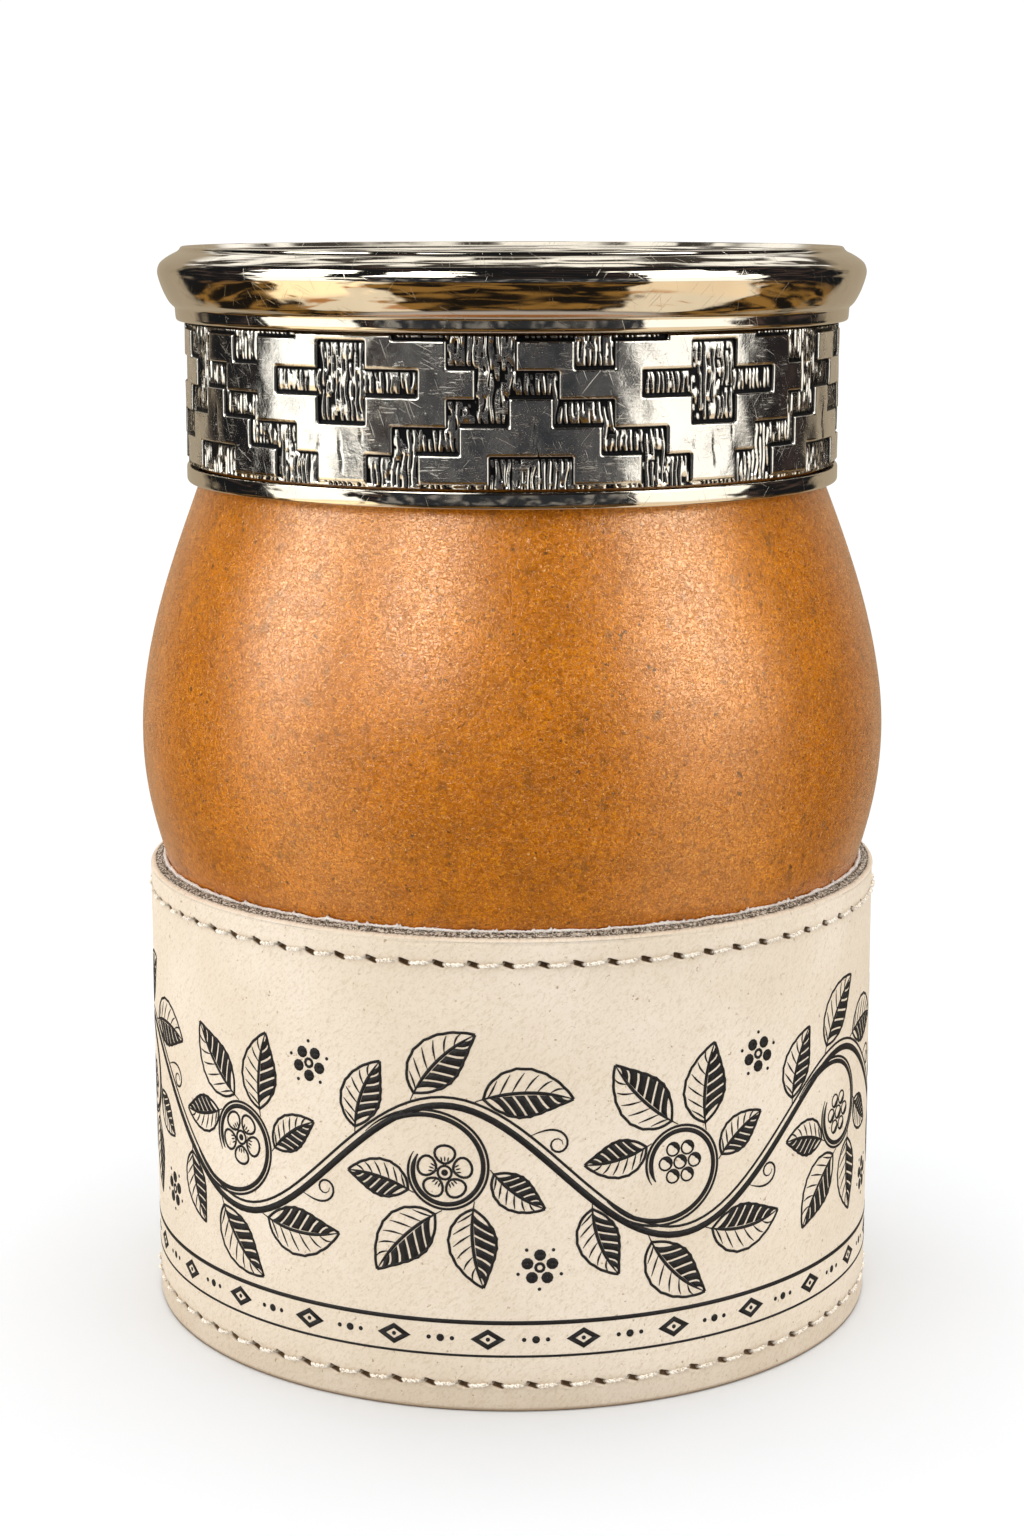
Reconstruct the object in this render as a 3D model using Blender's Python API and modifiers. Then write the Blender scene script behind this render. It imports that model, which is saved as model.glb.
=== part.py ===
"""A mate: a calabash covered in tan leather, with a nickel-silver ferrule round its mouth, standing in
a stitched leather sleeve.

Metres, +Z up. The origin is the middle of the sleeve's underside, and the front faces -Y.
"""

from math import cos, pi, radians, sin, tau

import bmesh
import bpy
from mathutils import Vector
from mathutils.geometry import interpolate_bezier

# Clearance between pieces that touch.
FIT = 0.00025

# The sleeve and its base.
SLEEVE_RADIUS = 0.04145
SLEEVE_HEIGHT = 0.0514
SLEEVE_PLY = 0.0011
SLEEVE_EDGE_BEVEL = 0.00025
LINING_PLY = 0.0004
LINING_PROUD = 0.0003
BASE_FLOOR = 0.002
BASE_RIM_WALL = 0.0012
BASE_RIM_HEIGHT = 0.007
BASE_EDGE = 0.0006

# The two stitch rows and the sleeve's back seam.
STITCH_PITCH = 0.0036
STITCH_THREAD = 0.0006
STITCH_GROOVE_DEPTH = 0.00065
STITCH_CROWN = 0.00022
TOP_ROW_BELOW_EDGE = 0.0029
BOTTOM_ROW_ABOVE_BASE = 0.003
SEAM_THREAD = 0.0005
SEAM_STITCH = 0.0026
SEAM_HALF_WIDTH = 0.0012
SEAM_MARGIN = 0.003
BUTT_GAP = 0.0002

# The gourd's leather cover. Its radius at the sleeve's mouth follows from the sleeve's bore.
GIRTH_PROUD = 0.00059
GIRTH_ABOVE_SLEEVE = 0.015
SHOULDER_HEIGHT = 0.0279
NECK_RADIUS = 0.03495
SHOULDER_FULLNESS = 0.5
SHOULDER_DROP = 0.0090
SHOULDER_ROUND = 0.0091
BELLY_ROUND = 0.0059
MOUTH_SLOPE = 0.31
BELLY_TANGENT = 0.005
LOWER_TANGENT = 0.016
FOOT_ROUND = 0.024
COVER_LEATHER = 0.0012
CALABASH_WALL = 0.00355

# The ferrule. Its radii follow from the neck's.
TRIM_HEIGHT = 0.0018
TRIM_WALL = 0.00125
TRIM_EDGE = 0.0003
BAND_WALL = 0.0012
BAND_RELIEF = 0.00035
BAND_ROW = 0.00285
BAND_TOP_STRIP = 0.0006
BAND_BOTTOM_STRIP = 0.00045
RIM_SHEET = 0.0009
RIM_HEIGHT = 0.008
LIP_OVERHANG = 0.0028
LIP_ROUND_WIDTH = 0.0028
LIP_ROUND_HEIGHT = 0.0026
LIP_FOOT_STEP = 0.00075
LIP_BEAD_HEIGHT = 0.0007
LIP_BEAD_BULGE = 0.0002
COLLAR_DEPTH = 0.012

# The stepped-cross ornament. Each row, from the top down, gives where its raised blocks start and end,
# in steps from the middle of a cross. A repeat is fourteen steps wide.
REPEATS = 6
STEPS = 14
BLOCKS = (
    ((-2, 2),),
    ((-7.5, -5.5), (-4, -1), (1, 4)),
    ((-6, -3), (3, 5)),
    ((-7.75, -6.25), (-4, -1), (1, 4)),
    ((-9.5, -4.5), (-2, 2)),
    ((-11, -8.5), (-5.5, -3), (-1, 1)),
    (),
)
ORNAMENT_TURN = radians(3.05)
FRONT_STRETCH = radians(3.3)

# Facets round each turned piece, and how near the axis a point counts as on it.
GOURD_FACETS = 48
SLEEVE_FACETS = 60
ON_AXIS = 1e-6

# How far a cutter goes past what it cuts.
CUT_PAST = 0.0005

# Bezier handles, as a share of the reach: a quarter round that is nearly a circle, and the lip's flare.
QUARTER_HANDLE = 0.55
FLARE_HANDLE = 0.38

COVER_TAN = (0.46, 0.19, 0.035)
SLEEVE_CREAM = (0.74, 0.64, 0.50)
LINING_WHITE = (0.78, 0.74, 0.67)
SOLE_BROWN = (0.42, 0.27, 0.14)
THREAD_CREAM = (0.78, 0.70, 0.56)
THREAD_TAN = (0.50, 0.26, 0.09)
NICKEL_SILVER = (0.66, 0.62, 0.55)
CALABASH_STRAW = (0.38, 0.23, 0.10)

# Heights, from the table up.
MOUTH_Z = SLEEVE_HEIGHT
GIRTH_Z = MOUTH_Z + GIRTH_ABOVE_SLEEVE
FERRULE_Z = GIRTH_Z + SHOULDER_HEIGHT
BAND_Z = FERRULE_Z + TRIM_HEIGHT + FIT
BAND_HEIGHT = BAND_BOTTOM_STRIP + (len(BLOCKS) - 2) * BAND_ROW + BAND_TOP_STRIP
RIM_Z = BAND_Z + BAND_HEIGHT + FIT
NECK_TOP_Z = RIM_Z - FIT
CREST_Z = RIM_Z + RIM_HEIGHT
FOOT_Z = BASE_FLOOR + FIT

# Radii that follow from what fits inside what.
SLEEVE_INSIDE = SLEEVE_RADIUS - SLEEVE_PLY
LINING_RADIUS = SLEEVE_INSIDE - FIT
SLEEVE_BORE = LINING_RADIUS - LINING_PLY
COVER_MOUTH_RADIUS = SLEEVE_BORE - FIT
BASE_RADIUS = SLEEVE_INSIDE - FIT
GIRTH_RADIUS = SLEEVE_RADIUS + GIRTH_PROUD
NECK_BORE = NECK_RADIUS - COVER_LEATHER - FIT - CALABASH_WALL
COLLAR_RADIUS = NECK_BORE - FIT - RIM_SHEET
FERRULE_BORE = NECK_RADIUS + FIT
TRIM_RADIUS = FERRULE_BORE + TRIM_WALL
BAND_RADIUS = FERRULE_BORE + BAND_WALL
LIP_RADIUS = BAND_RADIUS + LIP_OVERHANG
LIP_CREST_RADIUS = LIP_RADIUS - LIP_ROUND_WIDTH
LIP_FOOT_RADIUS = BAND_RADIUS + LIP_FOOT_STEP


def clear_scene():
    for obj in list(bpy.data.objects):
        bpy.data.objects.remove(obj, do_unlink=True)


def new_collection(name, rendered=True):
    collection = bpy.data.collections.new(name)
    collection.hide_render = not rendered
    bpy.context.scene.collection.children.link(collection)
    return collection


clear_scene()
PARTS = new_collection("mate_gourd")
CUTTERS = new_collection("cutters", rendered=False)


def material(name, colour, roughness, metallic=0.0):
    made = bpy.data.materials.new(name)
    made.use_nodes = True
    shader = made.node_tree.nodes["Principled BSDF"]
    shader.inputs["Base Color"].default_value = (*colour, 1.0)
    shader.inputs["Roughness"].default_value = roughness
    shader.inputs["Metallic"].default_value = metallic
    made.diffuse_color = (*colour, 1.0)
    return made


def add_object(name, data, collection=PARTS):
    obj = bpy.data.objects.new(name, data)
    collection.objects.link(obj)
    return obj


def smooth(mesh):
    mesh.shade_smooth()
    mesh.set_sharp_from_angle(angle=radians(35))


def settle(obj):
    """Turns an object's modifiers into its mesh, so that its smooth shading can keep sharp edges."""
    shown = obj.evaluated_get(bpy.context.evaluated_depsgraph_get())
    mesh = bpy.data.meshes.new_from_object(shown)
    mesh.name = obj.name
    obj.modifiers.clear()
    obj.data = mesh
    smooth(mesh)


def point(radius, height):
    """A point of a turned piece's outline, in the plane x, z."""
    return Vector((radius, 0.0, height))


def bezier(start, start_handle, end_handle, end, pieces):
    """The points of a Bezier curve after its start."""
    return interpolate_bezier(start, start_handle, end_handle, end, pieces + 1)[1:]


def inset(outline, depth):
    """An outline that runs down its outer side, moved towards the inside of the wall."""
    moved = []
    for index, here in enumerate(outline):
        before = outline[max(index - 1, 0)]
        after = outline[min(index + 1, len(outline) - 1)]
        along = (after - before).normalized()
        moved.append(here + depth * Vector((along.z, 0.0, -along.x)))
    if outline[-1].x < ON_AXIS:
        moved[-1].x = 0.0
    return moved


def outline_mesh(name, points, closed):
    mesh = bpy.data.meshes.new(name)
    last = len(points) - 1
    edges = [(index, index + 1) for index in range(last)]
    if closed:
        edges.append((last, 0))
    mesh.from_pydata(points, edges, [])
    return mesh


def add_screw(obj, facets, angle=tau):
    screw = obj.modifiers.new("turn", "SCREW")
    screw.angle = angle
    screw.steps = facets
    screw.render_steps = facets
    screw.use_merge_vertices = angle == tau
    screw.merge_threshold = 0.00001
    screw.use_smooth_shade = True
    return screw


def add_solidify(obj, thickness, offset=-1.0):
    solidify = obj.modifiers.new("wall", "SOLIDIFY")
    solidify.thickness = thickness
    solidify.offset = offset
    solidify.use_even_offset = True
    return solidify


def add_cut(obj, cutter):
    cut = obj.modifiers.new(cutter.name, "BOOLEAN")
    cut.operation = "DIFFERENCE"
    cut.solver = "EXACT"
    cut.object = cutter
    cutter.display_type = "WIRE"
    cutter.hide_render = True


def turned(name, points, finish, facets, closed=True):
    """A solid of revolution. A closed outline makes a ring, and an open one ends on the axis."""
    obj = add_object(name, outline_mesh(name, points, closed))
    obj.data.materials.append(finish)
    add_screw(obj, facets)
    return obj


def thread(name, points, thickness, finish, cyclic):
    """A sewing thread along straight runs from one point to the next."""
    curve = bpy.data.curves.new(name, "CURVE")
    curve.dimensions = "3D"
    curve.twist_mode = "Z_UP"
    curve.bevel_depth = thickness / 2
    curve.bevel_resolution = 0
    curve.use_fill_caps = not cyclic
    spline = curve.splines.new("POLY")
    spline.points.add(len(points) - 1)
    for spline_point, place in zip(spline.points, points):
        spline_point.co = (*place, 1.0)
    spline.use_cyclic_u = cyclic
    curve.materials.append(finish)
    return add_object(name, curve)


def round_axis(radius, angle, height):
    """A place at a radius and height. Angle 0 is the front, -Y, and it grows towards +X."""
    return Vector((radius * sin(angle), -radius * cos(angle), height))


def cover_outline(shoulder_pieces, belly_pieces, lower_pieces):
    """The cover's outside, from the top of the neck to the middle of the foot."""
    neck_top = point(NECK_RADIUS, NECK_TOP_Z)
    shoulder = point(NECK_RADIUS, FERRULE_Z)
    girth = point(GIRTH_RADIUS, GIRTH_Z)
    mouth = point(COVER_MOUTH_RADIUS, MOUTH_Z)
    foot = point(0.0, FOOT_Z)
    outward = SHOULDER_FULLNESS * (GIRTH_RADIUS - NECK_RADIUS)
    mouth_direction = Vector((MOUTH_SLOPE, 0.0, 1.0))
    return [
        neck_top,
        shoulder,
        *bezier(
            shoulder,
            shoulder + Vector((outward, 0.0, -SHOULDER_DROP)),
            girth + Vector((0.0, 0.0, SHOULDER_ROUND)),
            girth,
            shoulder_pieces,
        ),
        *bezier(
            girth,
            girth - Vector((0.0, 0.0, BELLY_ROUND)),
            mouth + mouth_direction * BELLY_TANGENT,
            mouth,
            belly_pieces,
        ),
        *bezier(
            mouth,
            mouth - mouth_direction * LOWER_TANGENT,
            foot + Vector((FOOT_ROUND, 0.0, 0.0)),
            foot,
            lower_pieces,
        ),
    ]


def cup_outline(outside, inside):
    """One outline for a cup: up the inside from the axis, over the edge and down the outside."""
    return [*reversed(inside), *outside]


def seam_recess(outline, depth):
    """A strip-shaped cutter that follows an outline down the back."""
    strip = add_object("cover_seam_recess", outline_mesh("cover_seam_recess", outline, False), CUTTERS)
    half_angle = (SEAM_HALF_WIDTH + SEAM_THREAD + FIT) / GIRTH_RADIUS
    add_screw(strip, 2, 2 * half_angle)
    thickness = depth + CUT_PAST
    add_solidify(strip, thickness, (CUT_PAST - depth) / thickness)
    strip.rotation_euler.z = pi / 2 - half_angle
    return strip


def zigzag(outline, depth, start_z, end_z):
    """Places that cross a back seam from side to side, down an outline, a depth below its surface."""
    inner = inset(outline, depth)
    places = []
    height = start_z
    side = 1
    while height > end_z:
        lower = next(index for index, here in enumerate(inner) if here.z <= height)
        above, below = inner[lower - 1], inner[lower]
        share = (above.z - height) / (above.z - below.z)
        radius = above.x + share * (below.x - above.x)
        places.append(round_axis(radius, pi + side * SEAM_HALF_WIDTH / GIRTH_RADIUS, height))
        height -= SEAM_STITCH
        side = -side
    return places


def build_gourd():
    leather = material("tan_leather", COVER_TAN, 0.38)
    calabash = material("dried_calabash", CALABASH_STRAW, 0.75)
    tan_thread = material("tan_thread", THREAD_TAN, 0.8)
    outside = cover_outline(4, 3, 4)
    cover = turned(
        "leather_cover",
        cup_outline(outside, inset(outside, COVER_LEATHER)),
        leather,
        GOURD_FACETS,
        closed=False,
    )
    recess = SEAM_THREAD + FIT
    seam_end_z = BASE_RIM_HEIGHT + SEAM_MARGIN
    seam_start_z = FERRULE_Z - SEAM_MARGIN
    seam_line = [here for here in outside[1:] if here.z > seam_end_z]
    add_cut(cover, seam_recess(seam_line, recess))
    thread(
        "cover_seam_thread",
        zigzag(outside, SEAM_THREAD / 2, seam_start_z, seam_line[-1].z + SEAM_STITCH),
        SEAM_THREAD,
        tan_thread,
        cyclic=False,
    )
    shell_outside = inset(outside, COVER_LEATHER + FIT)
    shell_inside = inset(cover_outline(3, 2, 3), COVER_LEATHER + FIT + CALABASH_WALL)
    turned("calabash_shell", cup_outline(shell_outside, shell_inside), calabash, GOURD_FACETS, closed=False)


def build_rim(metal):
    """One spun sheet: the collar inside the mouth, the funnel, the lip and its beaded foot."""
    collar_foot = point(COLLAR_RADIUS, RIM_Z - COLLAR_DEPTH)
    collar_top = point(COLLAR_RADIUS, RIM_Z)
    crest = point(LIP_CREST_RADIUS, CREST_Z)
    lip = point(LIP_RADIUS, CREST_Z - LIP_ROUND_HEIGHT)
    bead_top = point(LIP_FOOT_RADIUS, RIM_Z + LIP_BEAD_HEIGHT)
    funnel_rise = (CREST_Z - RIM_Z) / 2
    funnel_reach = (LIP_CREST_RADIUS - COLLAR_RADIUS) / 4
    lip_reach = (LIP_RADIUS - LIP_CREST_RADIUS) * QUARTER_HANDLE
    flare = (lip.z - bead_top.z) * FLARE_HANDLE
    points = [
        collar_foot,
        collar_top,
        *bezier(
            collar_top,
            collar_top + Vector((0.0, 0.0, funnel_rise)),
            crest - Vector((funnel_reach, 0.0, 0.0)),
            crest,
            3,
        ),
        *bezier(
            crest,
            crest + Vector((lip_reach, 0.0, 0.0)),
            lip + Vector((0.0, 0.0, LIP_ROUND_HEIGHT * QUARTER_HANDLE)),
            lip,
            3,
        ),
        *bezier(
            lip,
            lip - Vector((0.0, 0.0, flare)),
            bead_top + Vector((0.0, 0.0, flare)),
            bead_top,
            3,
        ),
        point(LIP_FOOT_RADIUS + LIP_BEAD_BULGE, RIM_Z + LIP_BEAD_HEIGHT / 2),
        point(LIP_FOOT_RADIUS, RIM_Z),
    ]
    rim = turned("ferrule_rim", points, metal, GOURD_FACETS, closed=False)
    add_solidify(rim, RIM_SHEET)


def ornament_angle(steps):
    """The angle of a place in the ornament. The repeats at the front are a little wider."""
    even = steps * tau / (REPEATS * STEPS)
    return ORNAMENT_TURN + even + FRONT_STRETCH * sin(even)


def is_raised(row, step):
    """Whether the ornament is raised in a row, at a place in steps round the band."""
    return any(
        start < step + turn * STEPS < end for start, end in BLOCKS[row] for turn in (-1, 0, 1)
    )


def ornament_columns():
    """Where columns start within one repeat, in steps: at each block's ends and at the cross's middle."""
    half = STEPS / 2
    ends = {0.0}
    for row in BLOCKS:
        for block in row:
            ends.update((end + half) % STEPS - half for end in block)
    return sorted(ends)


def build_band(metal):
    """The ornament is laid out flat, wrapped into a tube, and its blocks are then drawn outwards."""
    columns = ornament_columns()
    half_steps = STEPS / 2
    steps = [
        start + (repeat - REPEATS / 2) * STEPS + half_steps
        for repeat in range(REPEATS)
        for start in columns
    ]
    steps.append(steps[0] + REPEATS * STEPS)
    row_heights = [BAND_TOP_STRIP, *[BAND_ROW] * (len(BLOCKS) - 2), BAND_BOTTOM_STRIP]
    heights = [BAND_Z + sum(row_heights[row:]) for row in range(len(BLOCKS) + 1)]
    ground = BAND_RADIUS - BAND_RELIEF

    bm = bmesh.new()
    raised = bm.faces.layers.int.new("raised")
    bmesh.ops.create_grid(bm, x_segments=len(steps) - 1, y_segments=len(BLOCKS), size=1.0)
    for face in bm.faces:
        middle = face.calc_center_median()
        column = int((middle.x + 1) / 2 * (len(steps) - 1))
        row = int((1 - middle.y) / 2 * len(BLOCKS))
        centre = (steps[column] + steps[column + 1]) / 2
        face[raised] = is_raised(row, centre % STEPS - half_steps)
    for vert in bm.verts:
        column = round((vert.co.x + 1) / 2 * (len(steps) - 1))
        row = round((1 - vert.co.y) / 2 * len(BLOCKS))
        vert.co = round_axis(ground, ornament_angle(steps[column]), heights[row])
    bmesh.ops.remove_doubles(bm, verts=bm.verts, dist=1e-6)

    blocks = [face for face in bm.faces if face[raised]]
    drawn = bmesh.ops.extrude_face_region(bm, geom=blocks)["geom"]
    bmesh.ops.delete(bm, geom=blocks, context="FACES")
    move_to_radius([item for item in drawn if isinstance(item, bmesh.types.BMVert)], BAND_RADIUS)
    edges = [edge for edge in bm.edges if edge.is_boundary]
    turned_in = bmesh.ops.extrude_edge_only(bm, edges=edges)["geom"]
    move_to_radius([item for item in turned_in if isinstance(item, bmesh.types.BMVert)], FERRULE_BORE)
    loops = [item for item in turned_in if isinstance(item, bmesh.types.BMEdge)]
    bmesh.ops.bridge_loops(bm, edges=loops)
    bmesh.ops.recalc_face_normals(bm, faces=bm.faces)

    mesh = bpy.data.meshes.new("engraved_band")
    bm.to_mesh(mesh)
    bm.free()
    mesh.materials.append(metal)
    smooth(mesh)
    add_object("engraved_band", mesh)


def move_to_radius(verts, radius):
    for vert in verts:
        scale = radius / vert.co.xy.length
        vert.co.x *= scale
        vert.co.y *= scale


def build_ferrule():
    metal = material("nickel_silver", NICKEL_SILVER, 0.16, metallic=1.0)
    build_rim(metal)
    build_band(metal)
    trim_top = FERRULE_Z + TRIM_HEIGHT
    turned(
        "ferrule_trim_ring",
        [
            point(FERRULE_BORE, trim_top),
            point(TRIM_RADIUS - TRIM_EDGE, trim_top),
            point(TRIM_RADIUS, trim_top - TRIM_EDGE),
            point(TRIM_RADIUS, FERRULE_Z + TRIM_EDGE),
            point(TRIM_RADIUS - TRIM_EDGE, FERRULE_Z),
            point(FERRULE_BORE, FERRULE_Z),
        ],
        metal,
        GOURD_FACETS,
    )


def groove(height):
    """The four corners of a stitch groove in the sleeve's outline, from the top down."""
    half_width = STITCH_THREAD / 2 + FIT
    floor = SLEEVE_RADIUS - STITCH_GROOVE_DEPTH
    return [
        point(SLEEVE_RADIUS, height + half_width),
        point(floor, height + half_width),
        point(floor, height - half_width),
        point(SLEEVE_RADIUS, height - half_width),
    ]


def stitch_row(name, height, finish):
    """A thread that dips into a hole and rises over the leather once a stitch."""
    stitches = round(tau * SLEEVE_RADIUS / STITCH_PITCH)
    dip = SLEEVE_RADIUS - STITCH_GROOVE_DEPTH + FIT + STITCH_THREAD / 2
    places = []
    for stitch in range(stitches):
        angle = tau * stitch / stitches
        places.append(round_axis(dip, angle, height))
        places.append(round_axis(dip + STITCH_CROWN, angle + pi / stitches, height))
    thread(name, places, STITCH_THREAD, finish, cyclic=True)


def box_cutter(name, low, high):
    bm = bmesh.new()
    bmesh.ops.create_cube(bm, size=1.0)
    for vert in bm.verts:
        share = vert.co + Vector((0.5, 0.5, 0.5))
        vert.co = Vector([a + s * (b - a) for a, b, s in zip(low, high, share)])
    mesh = bpy.data.meshes.new(name)
    bm.to_mesh(mesh)
    bm.free()
    return add_object(name, mesh, CUTTERS)


def build_sleeve():
    cream = material("cream_leather", SLEEVE_CREAM, 0.62)
    white = material("lining_leather", LINING_WHITE, 0.85)
    brown = material("sole_leather", SOLE_BROWN, 0.7)
    cream_thread = material("cream_thread", THREAD_CREAM, 0.8)
    top_row_z = SLEEVE_HEIGHT - TOP_ROW_BELOW_EDGE
    bottom_row_z = BOTTOM_ROW_ABOVE_BASE
    wall = turned(
        "sleeve_wall",
        [
            point(SLEEVE_INSIDE, SLEEVE_HEIGHT),
            point(SLEEVE_RADIUS - SLEEVE_EDGE_BEVEL, SLEEVE_HEIGHT),
            point(SLEEVE_RADIUS, SLEEVE_HEIGHT - SLEEVE_EDGE_BEVEL),
            *groove(top_row_z),
            *groove(bottom_row_z),
            point(SLEEVE_RADIUS, SLEEVE_EDGE_BEVEL),
            point(SLEEVE_RADIUS - SLEEVE_EDGE_BEVEL, 0.0),
            point(SLEEVE_INSIDE, 0.0),
        ],
        cream,
        SLEEVE_FACETS,
    )
    turned(
        "sleeve_lining",
        [
            point(SLEEVE_BORE, SLEEVE_HEIGHT + LINING_PROUD),
            point(LINING_RADIUS, SLEEVE_HEIGHT + LINING_PROUD),
            point(LINING_RADIUS, BASE_RIM_HEIGHT + FIT),
            point(SLEEVE_BORE, BASE_RIM_HEIGHT + FIT),
        ],
        white,
        SLEEVE_FACETS,
    )
    inner_radius = BASE_RADIUS - BASE_RIM_WALL
    turned(
        "base_cup",
        [
            point(0.0, BASE_FLOOR),
            point(inner_radius - BASE_EDGE, BASE_FLOOR),
            point(inner_radius, BASE_FLOOR + BASE_EDGE),
            point(inner_radius, BASE_RIM_HEIGHT),
            point(BASE_RADIUS, BASE_RIM_HEIGHT),
            point(BASE_RADIUS, BASE_EDGE),
            point(BASE_RADIUS - BASE_EDGE, 0.0),
            point(0.0, 0.0),
        ],
        brown,
        GOURD_FACETS,
        closed=False,
    )
    stitch_row("top_stitching", top_row_z, cream_thread)
    stitch_row("bottom_stitching", bottom_row_z, cream_thread)
    close_sleeve(wall, bottom_row_z, top_row_z, cream_thread)


def close_sleeve(wall, bottom_row_z, top_row_z, finish):
    """The butt seam at the back: a slit, a shallow recess over it, and the thread in the recess."""
    slit = box_cutter(
        "sleeve_butt_gap",
        (-BUTT_GAP / 2, SLEEVE_INSIDE - CUT_PAST, -CUT_PAST),
        (BUTT_GAP / 2, SLEEVE_RADIUS + CUT_PAST, SLEEVE_HEIGHT + CUT_PAST),
    )
    row_half_width = STITCH_THREAD / 2 + FIT
    low_z = bottom_row_z + row_half_width + SEAM_MARGIN / 2
    high_z = top_row_z - row_half_width - SEAM_MARGIN / 2
    half_width = SEAM_HALF_WIDTH + SEAM_THREAD
    floor = SLEEVE_RADIUS - STITCH_GROOVE_DEPTH
    recess = box_cutter(
        "sleeve_seam_recess",
        (-half_width, floor, low_z),
        (half_width, SLEEVE_RADIUS + CUT_PAST, high_z),
    )
    add_cut(wall, slit)
    add_cut(wall, recess)
    places = []
    height = low_z + SEAM_THREAD
    side = 1
    while height < high_z - SEAM_THREAD:
        places.append(Vector((side * SEAM_HALF_WIDTH, floor + FIT + SEAM_THREAD / 2, height)))
        height += SEAM_STITCH
        side = -side
    thread("sleeve_seam_thread", places, SEAM_THREAD, finish, cyclic=False)


build_sleeve()
build_gourd()
build_ferrule()
for part in PARTS.objects:
    if part.modifiers:
        settle(part)
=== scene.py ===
from math import atan2, comb, cos, pi, radians, sin, sqrt, tan, tau

import bmesh
import bpy
import numpy as np
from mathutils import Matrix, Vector


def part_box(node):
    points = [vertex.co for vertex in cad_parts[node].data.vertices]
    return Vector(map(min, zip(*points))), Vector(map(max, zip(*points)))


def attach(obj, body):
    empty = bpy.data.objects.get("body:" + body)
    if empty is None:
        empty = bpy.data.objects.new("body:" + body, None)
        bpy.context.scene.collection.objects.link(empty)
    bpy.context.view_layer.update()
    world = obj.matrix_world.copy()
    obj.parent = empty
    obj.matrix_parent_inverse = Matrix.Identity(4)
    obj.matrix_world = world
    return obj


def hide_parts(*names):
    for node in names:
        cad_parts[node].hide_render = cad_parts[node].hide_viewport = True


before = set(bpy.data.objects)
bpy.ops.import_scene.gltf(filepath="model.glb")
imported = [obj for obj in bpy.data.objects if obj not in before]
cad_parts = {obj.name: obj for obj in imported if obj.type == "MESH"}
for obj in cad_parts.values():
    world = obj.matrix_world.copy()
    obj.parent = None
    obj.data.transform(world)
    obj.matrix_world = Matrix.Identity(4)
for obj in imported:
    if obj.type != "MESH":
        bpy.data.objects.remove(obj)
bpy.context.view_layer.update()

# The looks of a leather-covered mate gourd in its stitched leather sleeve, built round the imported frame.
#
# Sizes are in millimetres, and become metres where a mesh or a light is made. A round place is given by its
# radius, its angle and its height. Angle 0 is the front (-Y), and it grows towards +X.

MM = 0.001


def cad_reach(node):
    """A CAD node's largest radius, its lowest and its highest point, in millimetres."""
    low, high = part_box(node)
    return high.x / MM, low.z / MM, high.z / MM


# Sizes read from the frame.
SLEEVE_RADIUS, _, SLEEVE_TOP = cad_reach("sleeve_wall")
GIRTH_RADIUS, COVER_FOOT, COVER_TOP = cad_reach("leather_cover")
LINING_RADIUS, LINING_FOOT, LINING_TOP = cad_reach("sleeve_lining")
BASE_RADIUS, _, BASE_TOP = cad_reach("base_cup")
LIP_RADIUS, COLLAR_FOOT, CREST_Z = cad_reach("ferrule_rim")
_, BAND_FOOT, BAND_TOP = cad_reach("engraved_band")
TRIM_RADIUS, TRIM_FOOT, TRIM_TOP = cad_reach("ferrule_trim_ring")

# The camera, as fitted to the photograph.
LENS = 66.75
CAMERA_BACK = 321.6
CAMERA_HEIGHT = 124.7
CAMERA_PITCH = radians(11.25)

# How wide a softbox looks from the object.
SOFTBOX_SPREAD = radians(50)

# The space that the frame leaves between glued, sewn and soldered pieces.
SEAT_GAP = 0.25

# The sleeve.
SLEEVE_PLY = 1.1
LINING_PLY = 0.45
CUT_TOP = SLEEVE_TOP + 0.15
CUT_FALL = 0.45
EDGE_ROUND = 0.28
STITCHES = 72
ROW_TOP = SLEEVE_TOP - 2.9
ROW_BOTTOM = 3.0
TOP_PHASE = radians(-0.47)
BOTTOM_PHASE = radians(2.97)
SLOT_LENGTH = 0.56
SLOT_WIDTH = 0.27
SLOT_FALL = 0.32
SLOT_DEPTH = 0.6
THREAD_RADIUS = 0.225
SEAM_THREAD_RADIUS = 0.26
SEAM_STITCH = 2.6
SEAM_HALF_WIDTH = 1.2
BUTT_HALF_GAP = 0.2
BUTT_DEPTH = 0.6
LOOSE_FIBRES = 1100
# A ply's distance from the middle of its thread, and its radius, as shares of the thread's radius.
PLY_AWAY = 0.46
PLY_RADIUS = 0.6

# The print on the sleeve.
SCROLL_MIDDLE = 26.2
SCROLL_SWING = 7.6
HALF_WAVES = 10
HALF_WAVE = 25.2
PRINT_REACH = HALF_WAVE * HALF_WAVES / 2
SCROLL_START = -7.0
BORDER_TOP = 9.9
BORDER_FOOT = 6.2
INK_LIFT = 0.03

# The gourd's cover, with the same curve as the frame's.
GIRTH_Z = SLEEVE_TOP + 15
NECK_RADIUS = 34.95
MOUTH_RADIUS = 39.45
MOUTH_SLOPE = 0.31
COVER_LEATHER = 1.2
CALABASH_WALL = 3.55

# The ferrule.
BAND_RADIUS = 36.4
BAND_RELIEF = 0.35
BAND_BORE = 35.2
BAND_ROW = 2.85
TOP_STRIP = 0.6
RIM_FOOT = BAND_TOP + SEAT_GAP
RIM_SHEET = 0.9
COLLAR_RADIUS = 28.8
REPEATS = 6
STEPS = 14
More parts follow.
